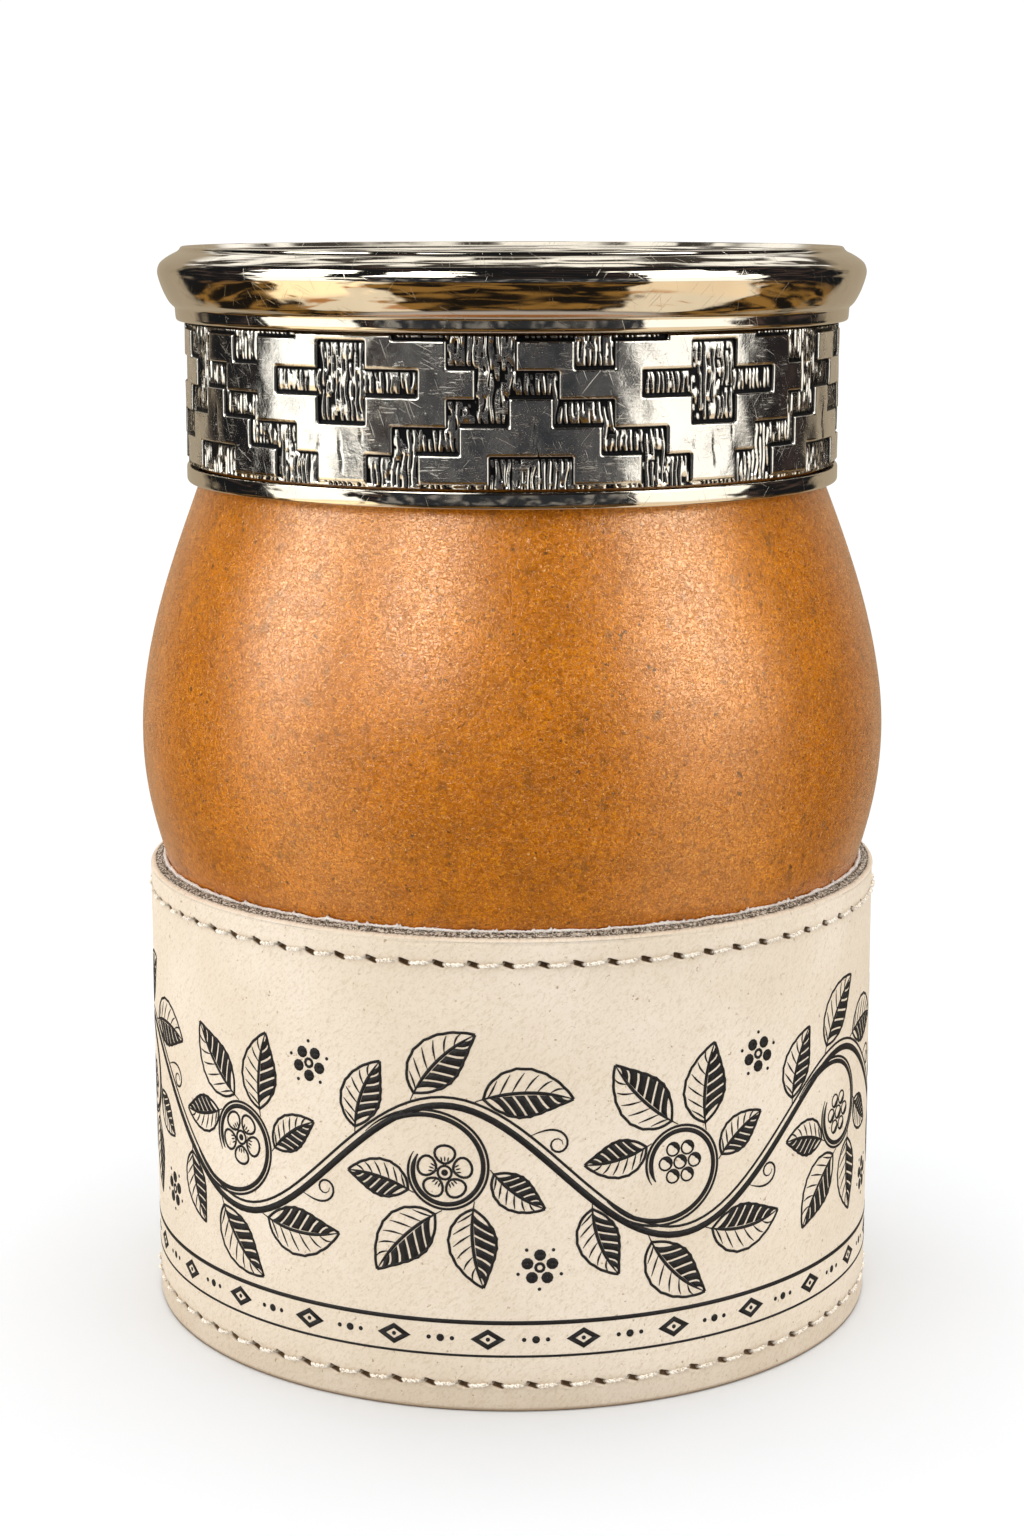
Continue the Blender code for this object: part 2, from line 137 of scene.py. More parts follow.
# The raised blocks of each row of the ornament, from the top, in steps from the middle of a repeat.
BLOCKS = (
    ((-2, 2),),
    ((-7.5, -5.5), (-4, -1), (1, 4)),
    ((-6, -3), (3, 5)),
    ((-7.75, -6.25), (-4, -1), (1, 4)),
    ((-9.5, -4.5), (-2, 2)),
    ((-11, -8.5), (-5.5, -3), (-1, 1)),
    (),
)
# Cracks in the raised metal: their place in steps, their lowest and highest points, and their lean.
CRACKS = (
    (0.05, 97.9, 101.3, -0.03),
    (-1.0, 99.9, 101.6, 0.09),
    (-1.3, 100.7, 101.4, 0.05),
    (0.85, 101.2, 102.0, 0.01),
    (-6.95, 100.4, 103.6, 0.02),
    (-6.7, 98.8, 101.0, -0.06),
)
ORNAMENT_TURN = radians(3.05)
FRONT_STRETCH = radians(3.3)

# The band's mesh columns in a step, and how deep the band is worn, cracked and chiselled.
STEP_COLUMNS = 20
TOP_WEAR = 0.03
EDGE_WEAR = 0.09
CRACK_DEPTH = 0.08
WORN_POLISH = 0.765
CHISEL_HEIGHT = 0.16
GROUND_DEPTH = 0.05


# Shapes


def place(radius, angle, height):
    """Points in metres, from arrays of radii, angles and heights."""
    radius, angle, height = np.broadcast_arrays(radius, angle, height)
    return np.stack([radius * np.sin(angle), -radius * np.cos(angle), height], axis=-1) * MM


def quad_mesh(name, points, quads, values=None):
    """A smooth mesh of quads. Values are named numbers kept at each point for the materials."""
    mesh = bpy.data.meshes.new(name)
    mesh.vertices.add(len(points))
    mesh.vertices.foreach_set("co", points.astype(np.float32).ravel())
    mesh.loops.add(quads.size)
    mesh.loops.foreach_set("vertex_index", quads.astype(np.int32).ravel())
    mesh.polygons.add(len(quads))
    mesh.polygons.foreach_set("loop_start", np.arange(0, quads.size, 4, dtype=np.int32))
    mesh.update(calc_edges=True)
    for key, numbers in (values or {}).items():
        layer = mesh.attributes.new(key, "FLOAT", "POINT")
        layer.data.foreach_set("value", numbers.astype(np.float32).ravel())
    mesh.shade_smooth()
    return mesh


def close_poles(mesh):
    """Merges the points that lie together on the axis."""
    bm = bmesh.new()
    bm.from_mesh(mesh)
    bmesh.ops.remove_doubles(bm, verts=bm.verts, dist=1e-7)
    bm.to_mesh(mesh)
    bm.free()
    mesh.shade_smooth()
    return mesh


def grid_quads(index, flipped=False):
    """The quads between the neighbouring rows and columns of a grid of point numbers."""
    corners = [index[:-1, :-1], index[1:, :-1], index[1:, 1:], index[:-1, 1:]]
    if flipped:
        corners[1:] = corners[:0:-1]
    return np.stack(corners, axis=-1).reshape(-1, 4)


def stacked(*rows):
    """Numbers, rows and blocks of rows, stacked and drawn out to one width."""
    rows = [np.atleast_2d(row) for row in rows]
    width = max(row.shape[1] for row in rows)
    return np.vstack([np.broadcast_to(row, (len(row), width)) for row in rows])


def turned(name, radius, angle, height, closed=True, values=None):
    """A turned mesh from arrays of rows by columns. Rows run down the outer side and up the inner one."""
    points = place(radius, angle, height)
    rows, columns = points.shape[:2]
    index = np.arange(rows * columns).reshape(rows, columns)
    index = np.hstack([index, index[:, :1]])
    if closed:
        index = np.vstack([index, index[:1]])
    values = {key: np.broadcast_to(v, (rows, columns)) for key, v in (values or {}).items()}
    mesh = quad_mesh(name, points.reshape(-1, 3), grid_quads(index), values)
    return mesh if closed else close_poles(mesh)


def bezier(*handles, count):
    """Points along a Bezier curve with four handles, without its start."""
    t = np.linspace(0, 1, count + 1)[1:, None]
    return sum(comb(3, k) * (1 - t) ** (3 - k) * t**k * np.array(p) for k, p in enumerate(handles))


def unit(vectors):
    return vectors / np.linalg.norm(vectors, axis=1, keepdims=True)


def sideways(path):
    """The unit vectors to the left of a flat line."""
    along = unit(np.gradient(path, axis=0))
    return np.stack([-along[:, 1], along[:, 0]], axis=1)


def inset(outline, depth):
    """An outline moved towards the inside of its wall."""
    moved = outline - depth * sideways(outline)
    moved[:, 0] = np.maximum(moved[:, 0], 0)
    return moved


def spline(points, per_piece):
    """A smooth curve through points, with this many steps from each point to the next."""
    points = np.array(points, float)
    padded = np.vstack([2 * points[0] - points[1], points, 2 * points[-1] - points[-2]])
    t = np.linspace(0, 1, per_piece, endpoint=False)[:, None]
    pieces = []
    for a, b, c, d in zip(padded, padded[1:], padded[2:], padded[3:]):
        pieces.append(
            0.5 * (2 * b + (c - a) * t + (2 * a - 5 * b + 4 * c - d) * t**2 + (3 * b - a - 3 * c + d) * t**3)
        )
    return np.vstack([*pieces, points[-1:]])


def even_angles(count, start=-pi):
    return start + np.arange(count) * tau / count


def ripple(angle, height, seed, waves, around, along):
    """A smooth random field of about -1 to 1, whose waves go round up to so many times."""
    rng = np.random.default_rng(seed)
    total = 0.0
    for _ in range(waves):
        turns = int(rng.integers(1, around + 1))
        total = total + np.sin(turns * angle + rng.uniform(-along, along) * height + rng.uniform(0, tau))
    return total / sqrt(waves)


def bump_at(value, width):
    return np.exp(-((value / width) ** 2))


def smoothstep(value, low, high):
    t = np.clip((value - low) / (high - low), 0, 1)
    return t * t * (3 - 2 * t)


def wrap(value, period):
    """A value brought to within half a period of zero."""
    return (value + period / 2) % period - period / 2


def from_back(angle, radius):
    """How far round places are from the middle of the back."""
    return wrap(angle - pi, tau) * radius


def tubes(name, lines, radii, sides=6, painted_shade=0.0):
    """Closed tubes along lines of points in metres, with a radius in metres at each point."""
    corners, quads, shades, first = [], [], [], 0
    turn = np.arange(sides)[:, None] * tau / sides
    for line, radius in zip(lines, radii):
        along = unit(np.gradient(line, axis=0))
        out = unit(line * (1, 1, 0))
        out = unit(out - along * np.sum(along * out, axis=1, keepdims=True))
        side = np.cross(along, out)
        ways = np.cos(turn) * out[:, None] + np.sin(turn) * side[:, None]
        ends = np.repeat(line[[0, -1], None], sides, axis=1)
        ring = np.vstack([ends[:1], line[:, None] + radius[:, None, None] * ways, ends[1:]])
        index = first + np.arange(len(ring) * sides).reshape(-1, sides)
        quads.append(grid_quads(np.hstack([index, index[:, :1]]), flipped=True))
        corners.append(ring.reshape(-1, 3))
        shade = np.broadcast_to(painted_shade, len(line))
        shades.append(np.repeat(np.concatenate([shade[:1], shade, shade[-1:]]), sides))
        first += len(ring) * sides
    values = {"painted_shade": np.concatenate(shades)}
    return close_poles(quad_mesh(name, np.vstack(corners), np.vstack(quads), values))


def twisted(name, paths, radius, twist, painted_shade=0.0, plies=2):
    """Sewing threads whose plies wind round each path. Twist is in turns a millimetre."""
    lines, radii = [], []
    for path in paths:
        run = np.concatenate([[0], np.cumsum(np.linalg.norm(np.diff(path, axis=0), axis=1))]) / MM
        out = unit(path * (1, 1, 0))
        side = np.cross(unit(np.gradient(path, axis=0)), out)
        for ply in range(plies):
            turn = tau * (run * twist + ply / plies)[:, None]
            lines.append(path + PLY_AWAY * radius * MM * (np.cos(turn) * out + np.sin(turn) * side))
            radii.append(np.full(len(path), PLY_RADIUS * radius * MM))
    return tubes(name, lines, radii, painted_shade=painted_shade)


def crossed_stitches(name, outline, heights, sunk, rise, over, uneven=0.0):
    """Crossed stitches over a seam at the back. Those of one slant lie over those of the other."""
    rng = np.random.default_rng(11)
    t = np.linspace(0, 1, 15)
    paths = []
    for side, lift in ((-1, rise), (1, rise + over)):
        for start, end in zip(heights, heights[1:]):
            height = start + (end - start) * t + rng.uniform(-uneven, uneven)
            radius = np.interp(-height, -outline[:, 1], outline[:, 0])
            angle = pi + side * (1 - 2 * t) * SEAM_HALF_WIDTH / radius
            paths.append(place(radius - sunk + lift * (1 - np.abs(2 * t - 1) ** 3), angle, height))
            side = -side
    return twisted(name, paths, SEAM_THREAD_RADIUS, 0.55)


def add_object(name, data):
    obj = bpy.data.objects.new(name, data)
    bpy.context.scene.collection.objects.link(obj)
    return obj


def piece(mesh, material, body, stands_for=()):
    """Adds a mesh as a piece that rides on a body and stands for CAD nodes."""
    mesh.materials.append(material)
    obj = add_object(mesh.name, mesh)
    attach(obj, body)
    if stands_for:
        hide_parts(*stands_for)


# Materials


class Graph:
    """A node tree in the making. Its methods add nodes and give their output sockets."""

    def __init__(self, tree, coordinates):
        self.tree = tree
        self.place = self.node("ShaderNodeTexCoord").outputs[coordinates]

    def feed(self, socket, value):
        if isinstance(value, bpy.types.NodeSocket):
            self.tree.links.new(value, socket)
        elif isinstance(value, tuple) and len(value) == 3 and len(socket.default_value) == 4:
            socket.default_value = (*value, 1.0)
        else:
            socket.default_value = value

    def node(self, kind, inputs=(), **settings):
        made = self.tree.nodes.new(kind)
        for key, value in settings.items():
            setattr(made, key, value)
        for key, value in dict(inputs).items():
            self.feed(made.inputs[key], value)
        return made

    def noise(self, size, detail=3.0, roughness=0.5, distortion=0.0, vector=None):
        """Noise whose features are about this many millimetres."""
        inputs = {"Vector": vector or self.place, "Scale": 1 / (size * MM), "Detail": detail}
        inputs |= {"Roughness": roughness, "Distortion": distortion}
        return self.node("ShaderNodeTexNoise", inputs).outputs["Fac"]

    def sheet(self):
        """Coordinates over a turned surface as if it lay flat: how far round a place is, and its height."""
        height = self.node("ShaderNodeSeparateXYZ", {0: self.place}).outputs["Z"]
        return self.node("ShaderNodeCombineXYZ", {"X": self.value("around"), "Y": height}).outputs["Vector"]

    def stretched(self, sizes, turn=(0, 0, 0), vector=None):
        """Coordinates turned, and then drawn out along each axis by these factors."""
        inputs = {"Vector": vector or self.place, "Scale": sizes, "Rotation": turn}
        return self.node("ShaderNodeMapping", inputs, vector_type="TEXTURE").outputs["Vector"]

    def span(self, value, low, high, to_low=0.0, to_high=1.0):
        """A value brought smoothly from one range to another."""
        inputs = {"Value": value, "From Min": low, "From Max": high, "To Min": to_low, "To Max": to_high}
        return self.node("ShaderNodeMapRange", inputs, interpolation_type="SMOOTHSTEP").outputs["Result"]

    def math(self, operation, first, second=0.5):
        return self.node("ShaderNodeMath", {0: first, 1: second}, operation=operation).outputs["Value"]

    def mix(self, factor, first, second):
        return self.node("ShaderNodeMix", {0: factor, 6: first, 7: second}, data_type="RGBA").outputs[2]

    def layered(self, tone, *layers):
        """Lays colours over a tone. Each comes with a value, the range that brings it in, and its share."""
        for value, low, high, share, colour in layers:
            tone = self.mix(self.span(value, low, high, 0.0, share), tone, colour)
        return tone

    def value(self, name):
        """A number kept at each point of the mesh."""
        return self.node("ShaderNodeAttribute", attribute_name=name).outputs["Fac"]

    def bump(self, height, depth, normal=None, strength=1.0):
        """A bump of about this many millimetres."""
        inputs = {"Height": height, "Distance": depth * MM, "Strength": strength}
        if normal:
            inputs["Normal"] = normal
        return self.node("ShaderNodeBump", inputs).outputs["Normal"]

    def within(self, value, low, high, soft):
        """1 where a value lies in a range, with soft ends."""
        rise = self.span(value, low - soft, low + soft)
        fall = self.span(value, high - soft, high + soft, 1.0, 0.0)
        return self.math("MULTIPLY", rise, fall)


class Shader(Graph):
    """A material in the making."""

    def __init__(self, name):
        self.material = bpy.data.materials.new(name)
        self.material.use_nodes = True
        super().__init__(self.material.node_tree, "Object")
        self.surface = self.tree.nodes["Principled BSDF"]

    def felt(self):
        """Matted grey fibres: their noise, and their tone."""
        fibres = self.noise(0.3, roughness=0.8, distortion=0.8)
        return fibres, self.mix(self.span(fibres, 0.44, 0.60), (0.035, 0.024, 0.014), (0.72, 0.64, 0.53))

    def finish(self, **sockets):
        for key, value in sockets.items():
            self.feed(self.surface.inputs[key.replace("_", " ")], value)
        return self.material


def tan_leather():
    """Waxed tan leather over the gourd, mottled, with a fine wrinkled grain, pores and small scars."""
    s = Shader("tan_leather")
    clouds = s.noise(24)
    patches = s.noise(5, detail=4, roughness=0.6)
    mottle = s.noise(0.8, roughness=0.7)
    grain = s.noise(0.25, detail=2, roughness=0.6, distortion=1.1)
    creases = s.noise(0.5, detail=2, distortion=1.2, vector=s.stretched((1.6, 1.6, 0.9)))
    creases = s.math("ABSOLUTE", s.math("SUBTRACT", creases, 0.5))
    freckles = s.noise(0.75, detail=2, roughness=0.6)
    blotches = s.noise(2.6, detail=4, roughness=0.7)
    flecks = s.noise(0.55, detail=1)
    tone = s.layered(
        s.mix(s.span(clouds, 0.35, 0.65), (0.55, 0.150, 0.001), (0.685, 0.203, 0.002)),
        (patches, 0.36, 0.7, 0.5, (0.33, 0.084, 0.001)),
        (mottle, 0.52, 0.7, 0.7, (0.24, 0.062, 0.001)),
        (mottle, 0.48, 0.3, 0.4, (0.84, 0.29, 0.006)),
        (grain, 0.54, 0.32, 0.8, (0.20, 0.050, 0.001)),
        (grain, 0.54, 0.70, 0.5, (0.98, 0.43, 0.01)),
        (creases, 0.05, 0.0, 0.4, (0.22, 0.055, 0.001)),
        (freckles, 0.65, 0.73, 0.9, (0.085, 0.028, 0.004)),
        (blotches, 0.56, 0.72, 0.66, (0.16, 0.050, 0.005)),
        (flecks, 0.75, 0.8, 0.6, (0.85, 0.50, 0.18)),
    )
    # Painted shade in the seam's groove and in the stitch holes beside it.
    tone = s.mix(s.value("hole"), tone, (0.12, 0.04, 0.006))
    normal = s.bump(patches, 0.08, strength=0.5)
    normal = s.bump(grain, 0.035, normal)
    normal = s.bump(s.span(creases, 0.05, 0.0), -0.012, normal)
    return s.finish(
        Base_Color=tone,
        Roughness=s.span(patches, 0.3, 0.7, 0.30, 0.38),
        IOR=1.6,
        Specular_IOR_Level=0.95,
        Specular_Tint=(1.0, 0.54, 0.12),
        Coat_Weight=s.span(grain, 0.36, 0.58, 0.35, 1.0),
        Coat_IOR=1.76,
        Coat_Roughness=s.span(mottle, 0.3, 0.7, 0.10, 0.19),
        Coat_Normal=normal,
        Normal=normal,
    )


def cream_leather():
    """Undyed cream leather with a fine grain, painted shade in its holes, and a grey fibrous cut edge."""
    s = Shader("cream_leather")
    clouds = s.noise(16)
    fine = s.noise(0.3, roughness=0.65)
    slanted = s.stretched((0.8, 2.2, 1), (0, 0, -0.8), s.sheet())
    lines = s.noise(0.4, roughness=0.65, distortion=1.0, vector=slanted)
    specks = s.noise(0.7, detail=2, roughness=0.6)
    fibres, matted = s.felt()
    tone = s.layered(
        s.mix(s.span(clouds, 0.3, 0.7), (0.765, 0.650, 0.510), (0.83, 0.725, 0.595)),
        (lines, 0.48, 0.7, 0.4, (0.54, 0.41, 0.26)),
        (fine, 0.52, 0.72, 0.4, (0.56, 0.43, 0.28)),
        (specks, 0.68, 0.75, 0.75, (0.36, 0.235, 0.13)),
    )
    tone = s.mix(s.value("cut"), tone, matted)
    # Painted shade in the holes and the seam's gap, fibrous brown to near black.
    hole_shade_tone = s.mix(s.span(fibres, 0.4, 0.7), (0.030, 0.014, 0.006), (0.17, 0.088, 0.040))
    tone = s.mix(s.span(s.value("hole"), 0.12, 0.4), tone, hole_shade_tone)
    # Painted shade along the stitch rows, under the thread, and a darker tone towards the foot.
    tone = s.mix(s.value("row_shade_and_dark_foot"), tone, (0.30, 0.19, 0.10))
    normal = s.bump(fine, 0.03, s.bump(lines, 0.09, strength=0.8))
    rough = s.span(fine, 0.3, 0.7, 0.55, 0.7)
    return s.finish(Base_Color=tone, Roughness=rough, Normal=normal, Specular_IOR_Level=0.3)


def suede(name, light, dark, felted=False):
    """The rough flesh side of leather. A felted one is grey and matted where its felt value is 1."""
    s = Shader(name)
    nap = s.noise(0.35, detail=4, roughness=0.75, distortion=0.8)
    tone = s.mix(s.span(nap, 0.3, 0.7), dark, light)
    tone = s.layered(tone, (s.noise(7), 0.3, 0.8, 0.3, dark))
    if felted:
        tone = s.mix(s.span(s.value("felt"), 0.5, 0.9), tone, s.felt()[1])
    looks = {"Base_Color": tone, "Roughness": 0.92, "Specular_IOR_Level": 0.2, "Sheen_Weight": 0.25}
    return s.finish(**looks, Normal=s.bump(nap, 0.12))


def thread(name, light, dark):
    """Waxed linen thread of uneven tone, with painted shade where it goes down into the holes."""
    s = Shader(name)
    fibres = s.noise(0.22, roughness=0.7)
    tone = s.mix(s.span(fibres, 0.36, 0.52), dark, light)
    tone = s.layered(tone, (s.noise(1.4, detail=2), 0.55, 0.8, 0.35, dark))
    # Painted shade where the thread goes down into a hole.
    tone = s.mix(s.value("painted_shade"), tone, tuple(0.45 * c for c in dark))
    return s.finish(Base_Color=tone, Roughness=0.6, Normal=s.bump(fibres, 0.03), Sheen_Weight=0.15)


def nickel_silver(name, tint, worked):
    """Polished nickel silver with fine scratches. Worked metal is oxidised in its hollows and darkened with
    painted shadow at the foot of its raised walls.
    """
    s = Shader(name)
    clouds = s.noise(9)
    smears = s.noise(2.2, detail=4, roughness=0.6)
    tone = s.mix(s.span(clouds, 0.35, 0.65), tuple(0.92 * c for c in tint), tint)
    hair = 0.0
    for turn in (0.35, 1.1, -0.7):
        drawn = s.stretched((0.1, 5, 1), (0, 0, turn), s.sheet())
        scratches = s.span(s.noise(1.0, detail=1, distortion=0.1, vector=drawn), 0.71, 0.79)
        hair = s.math("MAXIMUM", hair, scratches)
    rough = s.span(smears, 0.35, 0.75, *((0.1, 0.24) if worked else (0.035, 0.11)))
    rough = s.math("ADD", rough, s.math("MULTIPLY", hair, 0.4 if worked else 0.12))
    normal = s.bump(s.noise(5.5, detail=1), 0.06 if worked else 0.05)
    normal = s.bump(hair, -0.004, normal)
    if worked:
        wear = s.span(s.value("wear"), 0.12, 0.45)
        spots = s.noise(0.5, detail=4, roughness=0.75)
        grime = s.math("MULTIPLY", s.span(spots, 0.54, 0.68), s.span(smears, 0.45, 0.62, 0.0, 0.5))
        tone = s.mix(grime, tone, (0.12, 0.10, 0.08))
        # Near black in the hollows: oxide, and painted shadow next to the walls.
        tone = s.mix(wear, (0.010, 0.010, 0.011), tone)
        rough = s.math("ADD", rough, s.span(wear, 0.0, 0.8, 0.4, 0.0))
        level = s.stretched((9, 1, 1), vector=s.sheet())
        brushed = s.noise(0.2, detail=2, roughness=0.6, distortion=0.4, vector=level)
        brushed = s.math("MULTIPLY", s.span(brushed, 0.54, 0.70), s.span(smears, 0.45, 0.6))
        rough = s.math("ADD", rough, s.math("MULTIPLY", brushed, 0.2))
        for relief, depth in ((brushed, 0.006), (spots, 0.012), (smears, 0.04)):
            normal = s.bump(relief, depth, normal)
    return s.finish(Base_Color=tone, Metallic=1.0, Roughness=rough, Normal=normal)


def dried_calabash():
    """The gourd's raw inside, fibrous and stained by use."""
    s = Shader("dried_calabash")
    streaks = s.noise(2.5, detail=4, roughness=0.7, vector=s.stretched((1, 1, 4)))
    tone = s.mix(s.span(streaks, 0.3, 0.7), (0.20, 0.11, 0.045), (0.42, 0.27, 0.12))
    tone = s.layered(tone, (s.noise(12), 0.4, 0.7, 0.7, (0.10, 0.055, 0.022)))
    return s.finish(Base_Color=tone, Roughness=0.85, Normal=s.bump(streaks, 0.25))


def sole_leather():
    """Brown sole leather, clouded and scuffed."""
    s = Shader("sole_leather")
    clouds = s.noise(10, detail=4, roughness=0.6)
    scuffs = s.noise(1.2, detail=2, vector=s.stretched((0.25, 2.5, 1), (0, 0, 0.5)))
    tone = s.mix(s.span(clouds, 0.3, 0.7), (0.27, 0.155, 0.07), (0.44, 0.28, 0.14))
    tone = s.layered(tone, (scuffs, 0.6, 0.75, 0.35, (0.58, 0.42, 0.26)))
    fine = s.noise(0.4, roughness=0.7)
    return s.finish(Base_Color=tone, Roughness=0.7, Normal=s.bump(fine, 0.05))


def ink():
    """Black print on the leather, a little worn."""
    s = Shader("black_print")
    worn = s.noise(0.45, roughness=0.7)
    tone = s.mix(s.span(worn, 0.52, 0.75, 0.0, 0.4), (0.009, 0.008, 0.008), (0.05, 0.045, 0.04))
    return s.finish(Base_Color=tone, Roughness=0.62, Normal=s.bump(worn, 0.02), Specular_IOR_Level=0.3)


# The gourd


def cover_outline(count):
    """The cover's outside, from the top of the neck to the middle of the foot."""
    shoulder = (NECK_RADIUS, TRIM_FOOT)
    girth = (GIRTH_RADIUS, GIRTH_Z)
    mouth = (MOUTH_RADIUS, SLEEVE_TOP)
    neck = np.linspace((NECK_RADIUS, COVER_TOP), shoulder, 8)
    above = ((NECK_RADIUS + GIRTH_RADIUS) / 2, TRIM_FOOT - 9), (GIRTH_RADIUS, GIRTH_Z + 9.1)
    below = (GIRTH_RADIUS, GIRTH_Z - 5.9), (MOUTH_RADIUS + MOUTH_SLOPE * 5, SLEEVE_TOP + 5)
    inside = (MOUTH_RADIUS - MOUTH_SLOPE * 16, SLEEVE_TOP - 16), (24, COVER_FOOT)
    upper = bezier(shoulder, *above, girth, count=count)
    belly = bezier(girth, *below, mouth, count=count // 2)
    lower = bezier(mouth, *inside, (0, COVER_FOOT), count=count)
    return np.vstack([neck, upper, belly, lower])


def seam_angles(coarse):
    """Angles round the cover, closer together beside its seam at the back."""
    near = np.arange(-24, 25) * 0.004
    away = near[-1] + 0.5 * (1 - np.cos(np.linspace(0, pi, coarse)))[1:-1] * (tau - 2 * near[-1])
    return pi + np.concatenate([near, away])


def cover_surface(radius, angle, height):
    """The cover's radius, uneven as leather drawn over a gourd is, and how deep its seam's groove is,
    painted as shade.
    """
    uneven = 0.07 * ripple(angle, height, 3, 14, 5, 0.12) + 0.03 * ripple(angle, height, 4, 16, 14, 0.4)
    open_part = smoothstep(TRIM_FOOT - height, 0.5, 4) * smoothstep(height, COVER_FOOT + 1, COVER_FOOT + 9)
    across = from_back(angle, radius)
    pucker = 0.5 + 0.5 * np.cos(tau * height / SEAM_STITCH)
    groove = 0.75 * bump_at(across, 0.28) + 0.22 * bump_at(np.abs(across) - SEAM_HALF_WIDTH, 0.4) * pucker
    shoulders = 0.16 * bump_at(np.abs(across) - 0.62, 0.3)
    return radius + open_part * (uneven + shoulders - groove), groove


def add_cover():
    """The skin. Its rows go down the outside to the middle of the foot, and up the inside to the neck."""
    outline = cover_outline(70)
    angle = seam_angles(300)
    outer, groove = cover_surface(outline[:, :1], angle, outline[:, 1:])
    inner = inset(cover_outline(16), COVER_LEATHER)[::-1]
    radius = stacked(outer, inner[:, :1])
    height = np.vstack([outline[:, 1:], inner[:, 1:]])
    # The groove's depth is kept for the leather's painted shade.
    mesh = turned("cover_leather", radius, angle, height, values={"hole": stacked(groove, 0 * inner[:, :1])})
    piece(close_poles(mesh), tan_leather(), "gourd", ["leather_cover"])


def add_cover_seam():
    heights = np.arange(TRIM_FOOT - 3, BASE_TOP + 4, -SEAM_STITCH)
    depths = {"sunk": 0.35, "rise": 0.5, "over": 0.12, "uneven": 0.08}
    mesh = crossed_stitches("cover_cross_stitches", cover_outline(60), heights, **depths)
    material = thread("tan_thread", (0.60, 0.33, 0.12), (0.33, 0.15, 0.04))
    piece(mesh, material, "gourd", ["cover_seam_thread"])


def add_calabash():
    outline = cover_outline(40)
    outer = inset(outline, COVER_LEATHER + SEAT_GAP)
    inner = inset(outline, COVER_LEATHER + SEAT_GAP + CALABASH_WALL)[::-1]
    angle = even_angles(180)
    scraped = 0.12 * ripple(angle, inner[:, 1:], 21, 18, 24, 0.5) * (inner[:, :1] > 6)
    radius = stacked(outer[:, :1], inner[:, :1] + scraped)
    mesh = turned("calabash_inside", radius, angle, np.vstack([outer, inner])[:, 1:])
    piece(close_poles(mesh), dried_calabash(), "gourd", ["calabash_shell"])


# The ferrule


def rim_outline():
    """The rim's outside: up the funnel, over the beaded crest and the lip, and down to its foot."""
    funnel = [
        (COLLAR_RADIUS, COLLAR_FOOT),
        (COLLAR_RADIUS, RIM_FOOT - 3),
        (COLLAR_RADIUS + 0.35, RIM_FOOT),
        (COLLAR_RADIUS + 2.2, RIM_FOOT + 3.6),
        (COLLAR_RADIUS + 5.2, CREST_Z - 1.35),
        (LIP_RADIUS - 3.5, CREST_Z - 0.45),
    ]
    crest = [(-3.0, -0.08), (-2.8, 0), (-2.58, -0.1), (-2.44, -0.33)]
    lip = [(-2.2, -0.55), (-1.5, -0.9), (-0.85, -1.3), (-0.25, -1.85), (0, -2.6)]
    lip += [(-0.1, -3.4), (-0.55, -4.7), (-1.1, -5.8), (-1.5, -6.3), (-1.74, -6.5)]
    bead = [(-1.83, 1.33), (-1.86, 0.8), (-1.92, 0.25), (-2.08, 0.03), (-2.25, 0)]
    top, foot = np.array((LIP_RADIUS, CREST_Z)), np.array((LIP_RADIUS, RIM_FOOT))
    stretches = (funnel, 8), (top + crest, 5), (top + lip, 6), (foot + bead, 4)
    return np.vstack([spline(points, count) for points, count in stretches])


def spun_metal(name, rows, reach, depth, waves, material, node):
    """A ring of spun sheet, a little uneven by a ripple with these waves."""
    angle = even_angles(384)
    radius = rows[:, :1] + depth * ripple(angle, rows[:, 1:], *waves)
    mesh = turned(name, radius, angle, rows[:, 1:], values={"around": angle * reach * MM})
    mesh.set_sharp_from_angle(angle=radians(50))
    piece(mesh, material, "gourd", [node])


def add_rim(material):
    outer = rim_outline()
    rows = np.vstack([outer, inset(outer, RIM_SHEET)[::-1]])
    spun_metal("rim_metal", rows, LIP_RADIUS, 0.018, (31, 12, 9, 0.35), material, "ferrule_rim")


def ornament_angle(steps):
    """The angle of a place in the ornament. The repeats at the front are a little wider."""
    even = steps * tau / (REPEATS * STEPS)
    return ORNAMENT_TURN + even + FRONT_STRETCH * np.sin(even)


def from_middle(steps):
    """How many steps places are from the middle of their repeat."""
    return steps % STEPS - STEPS / 2


def row_edges():
    """The heights of the edges between the ornament's rows, from the top."""
    return [BAND_TOP - TOP_STRIP - BAND_ROW * row for row in range(len(BLOCKS) - 1)]


def raised_mask(steps, heights):
    """1 where the ornament is raised and polished, 0 on its ground, edges counted as raised."""
    local = from_middle(steps)
    tops = [BAND_TOP, *row_edges(), BAND_FOOT]
    mask = np.zeros((len(heights), len(steps)), bool)
    near = 1e-4
    for row, blocks in enumerate(BLOCKS):
        in_row = (heights <= tops[row] + near) & (heights >= tops[row + 1] - near)
        for start, end in blocks:
            for turn in (-STEPS, 0, STEPS):
                in_block = (local + turn >= start - near) & (local + turn <= end + near)
                mask |= in_row[:, None] & in_block[None, :]
    return mask


def band_heights():
    """The rows of the band's mesh, closer together at the edges of the ornament's rows."""
    edges = row_edges()
    within = [0.1, 0.19, 0.66, 1.12, 1.58, 2.04, 2.5, 2.75]
    heights = [BAND_TOP - 0.08, BAND_TOP - 0.28, BAND_TOP - 0.47]
    for edge in edges[:-1]:
        heights += [edge, *(edge - down for down in within)]
    heights += [edges[-1], edges[-1] - 0.13, BAND_FOOT + 0.16, BAND_FOOT + 0.04]
    return np.array(heights)


